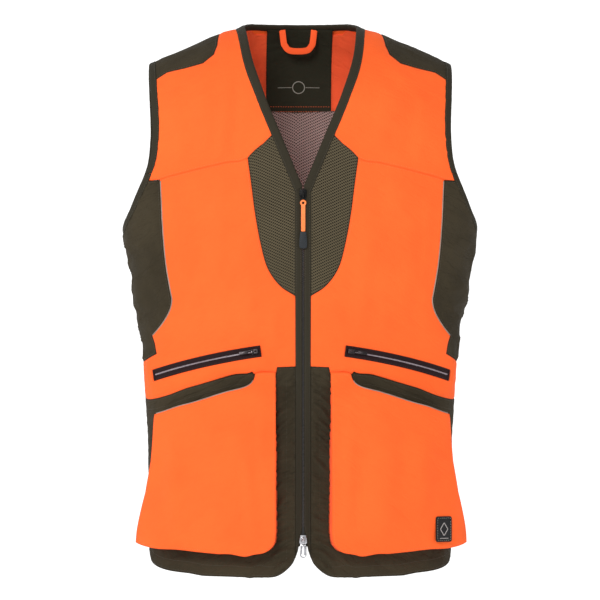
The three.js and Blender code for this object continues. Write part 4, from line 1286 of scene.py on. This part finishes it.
def make_side(side):
    """The olive side panel and its reflective piping."""
    seed = 5 if side == "left" else 21
    edge = flat(SIDE_SEAM)
    corner = np.array([lay(SIDE, -432)])
    under = stretch(ARMHOLE_EDGE, behind(lay(*CHEST_END)), lay(*CHEST_END))
    loop = np.concatenate([edge, corner, opposite(edge), under])
    made = panel(f"side_panel_{side}_cloth", loop, OLIVE, side, seed=seed, wave=1.6 * MM,
                 folds=FOLDS["side"], thread=OLIVE_THREAD, stitches=(2.4 * MM,), spacing=4 * MM,
                 crumple=1.8 * MM, pucker=0.9 * MM)
    cloth_piece(made, [f"side_panel_{side}"])

    line = shifted(flat(SIDE_SEAM[:-2]), 0.8 * MM)
    places, _ = walk(line, 3 * MM)
    core, out = lifted(places)
    cord = (*tube(core - out * (0.35 * MM), out, 0.85 * MM), None, None, 0)
    made = grown_sheet(f"side_piping_{side}_cord", [cord], REFLECTIVE, side)
    place_piece(made, [f"side_piping_{side}"])


def make_base(side):
    """The olive base of one front: beside the zip, behind the cargo pocket and along the hem."""
    seed = 31 if side == "left" else 63

    def ruched(moved, out, gap, base):
        """Gathers the cloth beside the zip."""
        x, z = np.abs(base[:, 0]) / MM, base[:, 2] / MM
        share = ramp(x, 9, 13) * (1 - ramp(x, 31, 44)) * ramp(-z, 438, 446)
        phase = (z + 0.5 * x + 5 * ripple(base[:, 0], base[:, 2], 60 * MM, seed)) / 14
        crease = np.sin(phase * 2 * math.pi)
        height = 1.6 * crease + 2.4 * np.abs(crease) ** 0.7 + 0.9 * np.sin(phase * 7.3 + x / 6)
        return moved + out * (height * MM * share * ramp(gap, 0, 5 * MM))[:, None]

    loop = np.concatenate([flat(MOUTH_SEAM), flat([(SIDE, -560), (SIDE, -674)]), flat(FRONT_HEM),
                           flat([(FACING_EDGE, -560)])])
    made = panel(f"base_panel_{side}_cloth", loop, OLIVE, side, seed=seed, thread=OLIVE_THREAD,
                 stitches=(2.4 * MM, 13 * MM), shape=ruched, pucker=0.5 * MM, spacing=3.4 * MM)
    cloth_piece(made, [f"base_panel_{side}"])

    inner = flat([(1.3, -206.3), (1.3, -400), (1.3, -646), (6.5, -674), (9.9, -684)])
    outer = flat([(9.9, -640), (9.9, -400), (9.9, -193)])
    made = panel(f"zip_facing_{side}_cloth", np.concatenate([inner, outer]), OLIVE_TAPE, side,
                 offset=0.6 * MM, thickness=1.4 * MM, seed=seed + 5, wave=0.15 * MM, pucker=0.3 * MM,
                 thread=OLIVE_THREAD, stitches=(1.7 * MM,), roll=0.7 * MM)
    cloth_piece(made, [f"zip_facing_{side}"], body=f"front_{side}", flat=(10 * MM, 0.478))


BINDING_CUT = 14 * MM  # the width of the tape before it is folded
BINDING = [(9, -0.3), (8.8, 0.5), (7.5, 0.75), (5, 0.95), (2.5, 1.0), (0.8, 0.8), (-0.2, 0.1), (-0.7, -1.2),
           (-0.2, -2.6), (0.8, -3.1), (4, -3.3), (8.5, -3.2), (8.8, -2.4)]


def binding(name, line, side, seed, nodes, body=None):
    """A folded tape over a raw edge, stitched through."""
    parts = [(*cloth_strip(line, BINDING, seed), 0), thread_on(line, 7.4, 0.9)]
    made = grown_sheet(name, parts, [OLIVE_TAPE, OLIVE_THREAD], side)
    cloth_piece(made, nodes, body, (BINDING_CUT, length_of(line)))


def make_bindings():
    """Bindings of the neck and the armholes."""
    shoulder = int(np.abs(NECK_LINE[:, 1]).argmin())
    nape = np.concatenate([NECK_LINE[shoulder:], across(NECK_LINE[shoulder:-1])])
    binding("neck_binding_nape", nape, "left", 2, ["neck_binding"], body="back")
    turn = int(np.linalg.norm(ARMHOLE_LINE - np.array(lay(199, -188)), axis=1).argmin())
    for side, seed in (("left", 4), ("right", 9)):
        armhole = f"armhole_binding_{side}"
        binding(f"neck_binding_{side}", NECK_LINE[: shoulder + 1], side, seed,
                ["neck_binding", f"neck_binding_front_{side}"])
        binding(f"{armhole}_upper", ARMHOLE_LINE[: turn + 1], side, seed + 1, [armhole])
        binding(f"{armhole}_lower", ARMHOLE_LINE[turn:], side, seed + 2, [armhole])


def make_back():
    """Shoulder patches and the two back panels."""
    for side, seed in (("left", 6), ("right", 16)):
        edge = flat(PATCH_EDGE)
        arm = stretch(ARMHOLE_EDGE, lay(*PATCH_EDGE[-1]), ARMHOLE_SHOULDER)
        over = np.concatenate([edge, arm])
        loop = np.concatenate([over, np.stack([over[:, 0], -over[:, 1]], axis=1)[::-1]])
        made = panel(f"shoulder_patch_{side}_cloth", loop, OLIVE, side, seed=seed, thread=OLIVE_THREAD,
                     wave=0.5 * MM, stitches=(2.4 * MM,))
        cloth_piece(made, [f"shoulder_patch_{side}"], body="back")

    half = np.concatenate([
        flat([(0, 5), (20, 5), (44, 5), (61, 5)], True),
        np.array([behind(NECK_SHOULDER)]), flat(PATCH_EDGE, True),
        stretch(ARMHOLE_EDGE, behind(lay(*PATCH_EDGE[-1])), behind(lay(*CHEST_END))),
        flat(SIDE_SEAM, True), flat([(SIDE, -430), (100, -430), (0, -430)], True)])
    loop = np.concatenate([half, across_back(half[1:-1])])
    made = panel("back_panel_upper_cloth", loop, ORANGE, seed=71, wave=0.8 * MM, spacing=7 * MM,
                 thread=ORANGE_THREAD, stitches=(2.4 * MM,))
    cloth_piece(made, ["back_panel_upper"], body="back")
    half = flat([(0, -430.6), (100, -430.6), (SIDE, -430.6), (SIDE, -550), (SIDE, -668), (100, -668),
                 (0, -668)], True)
    loop = np.concatenate([half, across_back(half[1:-1])])
    made = panel("back_panel_lower_cloth", loop, OLIVE, seed=75, wave=0.8 * MM, spacing=7 * MM,
                 thread=OLIVE_THREAD, stitches=(2.4 * MM, 14 * MM))
    cloth_piece(made, ["back_panel_lower"], body="back")


def make_neck_inside():
    """What shows inside the back neck: facing, lining, the label panel and the hanger loop."""
    shoulder = [(66, 4), (79, -6), (99, -12), (118, -21)]
    half = flat([(0, -2.3), (30, -2.3), (58, -2.3), *shoulder, (118, -105), (0, -105)], True)
    loop = np.concatenate([half, across_back(half[1:-1])])
    # the facing uses the orange with painted shade
    made = panel("back_neck_facing_cloth", loop, ORANGE_IN_SHADE, offset=-3.4 * MM, thickness=LINING,
                 inward=True, seed=81, wave=0.5 * MM, roll=0.3 * MM, thread=ORANGE_THREAD,
                 stitches=(2.4 * MM,))
    cloth_piece(made, ["back_neck_facing"], body="back")

    arm = stretch(shifted(ARMHOLE_LINE, (BINDING_WIDTH + 3) * MM), behind(lay(180, -107)),
                  (SIDE_S, lay(SIDE, -272)[1]))
    half = np.concatenate([flat([(0, -105.8), (90, -105.8)], True), arm,
                           flat([(SIDE, -450), (SIDE, -650), (90, -650), (0, -650)], True)])
    loop = np.concatenate([half, across_back(half[1:-1])])
    made = panel("back_lining_net", loop, LINING_NET, offset=-7.0 * MM, thickness=0.6 * MM,
                 inward=True, seed=83, spacing=9 * MM, wave=1.2 * MM, roll=0.2 * MM, stitches=())
    cloth_piece(made, ["back_lining"], body="back")

    def at_back(x, z):
        """The flat place of a point of the back, on either side of the middle."""
        s, v = lay(abs(x), z, True)
        return (s if x >= 0 else 2 * BACK_S - s, v)

    def label_marks(raised):
        """Topstitches near the label's lower edge, and a plain ring between two rules."""
        parts = []
        for z in (-104.4, -98.0):
            row = np.array([at_back(x, z) for x in np.linspace(-40, 44, 40)])
            parts += [(*stitch_parts(*seat, half=1.2 * MM, radius=0.34 * MM), None, None, 1)
                      for seat in seats(row, [True] * len(row), raised)]
        turns = np.linspace(0, 2 * math.pi, 48, endpoint=False)
        ring = np.array([at_back(2 + 8.0 * math.cos(a), -72.5 + 8.0 * math.sin(a)) for a in turns])
        points, out, _ = raised(ring)
        lines = [tube(points + out * 0.1 * MM, out, (0.6 * MM, 0.35 * MM), closed=True)]
        for side in (-1, 1):
            rule = np.array([at_back(2 + side * x, -72.5) for x in np.linspace(9.5, 28, 12)])
            points, out, _ = raised(rule)
            lines.append(tube(points + out * 0.1 * MM, out, (0.4 * MM, 0.35 * MM)))
        return parts + [(*line, None, None, 2) for line in lines]

    label_x = np.linspace(-41.5, 45.5, 9)
    loop = np.array([at_back(x, 5) for x in label_x] + [at_back(x, -107) for x in label_x[::-1]])
    made = panel("label_panel_cloth", loop, LABEL_CLOTH, offset=-5.2 * MM, thickness=1.1 * MM,
                 inward=True, seed=85, wave=0.3 * MM, roll=0.4 * MM, thread=ORANGE_THREAD,
                 stitches=(), extra=label_marks)
    made.data.materials.append(GREY_THREAD)
    cloth_piece(made, ["label_panel"], body="back")

    top, bend, leg = 1.5, -9.0, 18.5
    path = curve([(-leg - 2.5, 57.0, top), (-leg - 0.5, 57.0, bend - 6), (-leg + 1, 56.8, -19),
                  (-leg + 6.5, 56.7, -25), (0, 56.6, -26.4), (leg - 6.5, 56.7, -25), (leg - 1, 56.8, -19),
                  (leg + 0.5, 57.0, bend - 6), (leg + 2.5, 57.0, top)], 8)
    path = np.array(path) * MM
    parts = [(*tube(path, BACKWARDS, (4.2 * MM, 0.62 * MM), 12), None, None, 0)]
    made = grown_sheet("hanger_loop_tape", parts, ORANGE_TAPE)
    cloth_piece(made, ["hanger_loop"], body="hanger_loop",
                flat=(10 * MM, length_of(path)))


def arc_strip(profile, low, high, step=3 * MM):
    """A closed strip along the pocket's arc: profile points are (height, out) in mm."""
    angles = np.linspace(low, high, max(2, int(ARC_RADIUS * (high - low) / step)) + 1)
    along = angles * ARC_RADIUS
    return strip_of([on_arc(angles, height * MM, out * MM) for height, out in profile],
                    [np.stack([along, np.full(len(along), height * MM)], axis=1) for height, _ in profile])


def arc_thread(height, out, low, high):
    """A row of stitches along the pocket's arc."""
    angles = np.arange(low, high, STITCH_PITCH / ARC_RADIUS)
    points = on_arc(angles, height * MM, out * MM)
    ups = unit(on_arc(angles, height * MM, (out + 1) * MM) - points)
    return (*stitch_parts(points, unit(np.gradient(points, axis=0)), ups), None, None, 1)


def make_zipped_pocket(side):
    """Welt tapes, coil and bag of a zipped pocket."""
    front = f"front_{side}"
    upper = [(0.9, 0.3), (1.0, 0.9), (1.8, 1.2), (5.6, 1.2), (7.0, 1.0), (7.6, 0.2), (7.4, -1.0),
             (1.0, -0.6)]
    lower = [(-h, out) for h, out in upper]
    end = 2.6 * MM / ARC_RADIUS
    parts = [(*arc_strip(upper, 0, ARC_SPAN), 0), (*arc_strip(lower, 0, ARC_SPAN), 0)]
    under = [(-2.4, -0.5), (2.4, -0.5), (2.4, -1.4), (-2.4, -1.4)]
    parts.append((*arc_strip(under, 0, ARC_SPAN), 0))
    tack = [(-7.0, 1.1), (-6.5, 1.5), (6.5, 1.5), (7.0, 1.1), (6.5, 0.3), (-6.5, 0.3)]
    parts += [(*arc_strip(tack, 0, end, MM), 0), (*arc_strip(tack, ARC_SPAN - end, ARC_SPAN, MM), 0)]
    parts += [arc_thread(height, 1.25, end, ARC_SPAN - end) for height in (6.2, -6.2)]
    made = grown_sheet(f"welt_{side}_tapes", parts, [WELT_TAPE, DARK_THREAD], side)
    cloth_piece(made, [f"welt_{side}"], body=front,
                flat=(26 * MM, ARC_RADIUS * ARC_SPAN))

    parts = []
    first, last = 4 * MM / ARC_RADIUS, ARC_SPAN - 4 * MM / ARC_RADIUS
    for n, angle in enumerate(np.arange(first, last, 0.62 * MM / ARC_RADIUS)):
        lean = 0.30 * MM / ARC_RADIUS
        low, high = (-1.0, 0.45) if n % 2 else (-0.45, 1.0)
        heights = np.array([low, low + 0.25, high - 0.25, high])
        angles = angle + lean * heights
        core = on_arc(angles, heights * MM, np.array([0.7, 1.15, 1.15, 0.7]) * MM)
        parts.append(tube(core, on_arc(angle, 0.0, 1.0) - on_arc(angle, 0.0, 0.0), 0.28 * MM, 6))
    hard_piece(f"pocket_teeth_{side}_coil", front, f"pocket_teeth_{side}", parts, COIL, side)

    bag = flat([(60, -430), (120, -440), (170, -452), (176, -548), (168, -556), (66, -556), (60, -548)])
    made = panel(f"pocket_bag_{side}_cloth", bag, LINING_NET, side, offset=-9.5 * MM,
                 thickness=LINING, seed=91, spacing=9 * MM, roll=0.3 * MM, stitches=())
    cloth_piece(made, [f"pocket_bag_{side}"], body=front)
    lining = flat([(27, -352), (120, -352), (163, -380), (163, -640), (150, -690), (60, -690), (27, -670)])
    made = panel(f"front_lining_{side}_net", lining, LINING_NET, side, offset=-17.0 * MM,
                 thickness=0.6 * MM, seed=93, spacing=10 * MM, roll=0.2 * MM, stitches=())
    cloth_piece(made, [f"front_lining_{side}"], body=front)


def make_zip(side):
    """Tape and moulded teeth of one half of the main zip."""
    front = f"front_{side}"
    line = [(4.0 * MM, lay(0, z)[1]) for z in (-667, -209.5)]
    profile = [(0, -3.4), (0, -4.3), (15.4, -4.3), (15.4, -3.4)]
    tape = (*cloth_strip(line, profile, pucker=0, step=12 * MM), 0)
    made = grown_sheet(f"zip_tape_{side}_cloth", [tape], WELT_TAPE, side)
    cloth_piece(made, [f"zip_tape_{side}"], body=front,
                flat=(16 * MM, 0.4575))
    parts = []
    shift = 0.0 if side == "left" else 1.25
    for z in np.arange(-666.5 + shift, -210, 2.5):
        # a foot on the tape and a head that meets the other half
        parts.append(prism(rounded(2.6 * MM, 1.5 * MM, 0.4 * MM, 1, (2.5 * MM, z * MM)),
                           ZIP_Y + 2.9 * MM, ZIP_Y + 4.9 * MM, 0))
        head = [(1.3, z - 0.5), (1.3, z + 0.5), (-0.9, z + 0.62), (-0.9, z - 0.62)]
        head = [(x * MM, height * MM) for x, height in head]
        parts.append(prism(head, ZIP_Y + 3.2 * MM, ZIP_Y + 4.6 * MM, 0))
    hard_piece(f"zip_teeth_{side}_chain", front, f"zip_teeth_{side}", parts, CHAIN, side)


# the gusset's fold: (share of the way from the base to the pocket's front, depth inwards in mm)
GUSSET = [(0.04, 1.2), (0.2, 2.6), (0.38, 4.6), (0.5, 5.4), (0.62, 4.6), (0.8, 2.4), (0.93, 1.0)]
GUSSET_STEP = 3 * MM


def make_cargo(side):
    """A bellows pocket: its front, its gusset in two pieces and its piping."""
    front, cargo = f"front_{side}", f"cargo_{side}"
    seed = 37 if side == "left" else 67
    outline = CARGO_TOP + CARGO_SIDE + CARGO_BOTTOM
    loop = flat(outline, grown=pocket_relief)

    def corner_tuck(base):
        """How far the pocket's inner top corner is drawn back, where it is sewn to the front."""
        x, z = np.abs(base[:, 0]) / MM, base[:, 2] / MM
        return 9.5 * MM * (1 - ramp(x, 60, 88)) * (1 - ramp(-z, 446, 480))

    def crown(moved, out, gap, base):
        """Fills the pocket out a little in the middle and draws its sewn corner back."""
        height = 1.4 * MM * ramp(gap, 0, 60 * MM) - corner_tuck(base)
        return moved + out * height[:, None]

    made = panel(f"cargo_panel_{side}_cloth", loop, ORANGE, side, offset=pocket_relief, seed=seed,
                 folds=FOLDS[f"cargo_{side}"], thread=ORANGE_THREAD, stitches=(2.6 * MM,), shape=crown,
                 pucker=0.35 * MM, wave=1.0 * MM)
    cloth_piece(made, [f"cargo_panel_{side}"], body=cargo)

    line = shifted(flat(CARGO_TOP[3:], grown=pocket_relief), -0.6 * MM)
    places, _ = walk(line, 2.5 * MM)
    core, _ = lifted(places, pocket_relief)
    _, out = lifted(places, 15 * MM)
    core = core - out * (1.4 * MM + corner_tuck(core))[:, None]
    cord = (*tube(core, out, 0.8 * MM), None, None, 0)
    made = grown_sheet(f"cargo_piping_{side}_cord", [cord], REFLECTIVE, side)
    place_piece(made, [f"cargo_piping_{side}"], body=cargo)

    walls = {"side": flat([(191, -500)] + CARGO_SIDE, grown=pocket_relief),
             "base": flat(CARGO_SIDE[-1:] + CARGO_BOTTOM + [(36, -560), (36, -450)], grown=pocket_relief)}
    for number, (part, wall) in enumerate(walls.items()):
        places, ways = walk_whole(wall, GUSSET_STEP)
        foot, _ = lifted(places)
        relief = pocket_relief(foot[:, 2]) - corner_tuck(foot)
        along = np.arange(len(places)) * GUSSET_STEP
        lines, uvs = [], []
        for share, depth in GUSSET + [(share, depth + 1.4) for share, depth in GUSSET[::-1]]:
            crumple = 0.9 * MM * ripple(along, np.full(len(along), share * 20 * MM), 22 * MM, seed + number)
            at = places + sideways(ways) * (depth * MM + crumple * (1 - abs(2 * share - 1)))[:, None]
            lines.append(surface(at[:, 0], at[:, 1], share * relief))
            uvs.append(np.stack([along, share * relief], axis=1))
        part_of_gusset = (*strip_of(lines, uvs), 0)
        # the gusset uses the orange with painted shade
        made = grown_sheet(f"cargo_gusset_{side}_{part}", [part_of_gusset], ORANGE_IN_SHADE, side)
        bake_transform(made)
        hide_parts(f"cargo_gusset_{side}")


# ---- camera, light and ground ----


def set_view():
    """A long lens in front of the vest, a little to the wearer's right."""
    camera = bpy.data.objects.new("camera", bpy.data.cameras.new("camera"))
    bpy.context.scene.collection.objects.link(camera)
    bpy.context.scene.camera = camera
    distance, turn = 10.0, math.radians(-2.3)
    aim = Vector((0, 0, -0.3515))
    camera.location = aim + Vector((distance * math.sin(turn), -distance * math.cos(turn), 0))
    camera.rotation_euler = (aim - camera.location).to_track_quat("-Z", "Y").to_euler()
    camera.data.sensor_width = 36
    camera.data.lens = 461.5
    camera.data.clip_end = 50
    bpy.context.scene.view_settings.view_transform = "Standard"
    bpy.context.scene.view_settings.look = "None"


def area_light(name, place, aim, size, watts):
    """A rectangular light that looks at a point."""
    light = bpy.data.lights.new(name, "AREA")
    light.shape = "RECTANGLE"
    light.size, light.size_y = size
    light.energy = watts
    made = bpy.data.objects.new(name, light)
    bpy.context.scene.collection.objects.link(made)
    made.location = place
    made.rotation_euler = (Vector(aim) - Vector(place)).to_track_quat("-Z", "Y").to_euler()


def set_light():
    """A white studio: a bright world, a soft key from above the camera and a fill on each side."""
    world = bpy.data.worlds.new("world")
    bpy.context.scene.world = world
    world.use_nodes = True
    background = world.node_tree.nodes["Background"]
    background.inputs["Color"].default_value = (1, 1, 1, 1)
    background.inputs["Strength"].default_value = 0.55
    middle = (0, 0, -0.35)
    area_light("key", (-0.9, -3.0, 0.9), middle, (0.9, 0.8), 52)
    area_light("fill_left", (-2.6, -1.1, 0.35), middle, (0.6, 1.2), 24)
    area_light("fill_right", (2.2, -1.6, 0.2), middle, (0.8, 1.4), 10)


def make_backdrop():
    """A white sweep: a floor under the vest that curves up behind it. Its back is see-through."""
    floor, front, bend, back, radius, top, reach = -0.95, -9.0, 0.6, 1.5, 0.9, 3.0, 8.0
    turns = [i / 12 * math.pi / 2 for i in range(13)]
    curve = [(bend + radius * math.sin(t), floor + radius * (1 - math.cos(t))) for t in turns]
    profile = [(front, floor), *curve, (back, top)]
    points = [(x, y, z) for y, z in profile for x in (-reach, reach)]
    faces = [(2 * i, 2 * i + 1, 2 * i + 3, 2 * i + 2) for i in range(len(profile) - 1)]
    white = Nodes("backdrop", 1.0)
    white.shader.inputs["Base Color"].default_value = (0.2, 0.2, 0.2, 1)
    white.shader.inputs["Emission Color"].default_value = (1, 1, 1, 1)
    white.shader.inputs["Emission Strength"].default_value = 1.0
    from_behind = white.add("ShaderNodeNewGeometry").outputs["Backfacing"]
    white.join(white.math("SUBTRACT", 1.0, from_behind), white.shader.inputs["Alpha"])
    mesh_object("backdrop", points, faces, white.material)


set_view()
for wearer_side in ("left", "right"):
    make_chest(wearer_side)
    make_side(wearer_side)
    make_base(wearer_side)
    make_zipped_pocket(wearer_side)
    make_zip(wearer_side)
    make_cargo(wearer_side)
    make_pocket_slider(wearer_side)
make_bindings()
make_back()
make_neck_inside()
make_main_zip()
make_badge()
set_light()
make_backdrop()
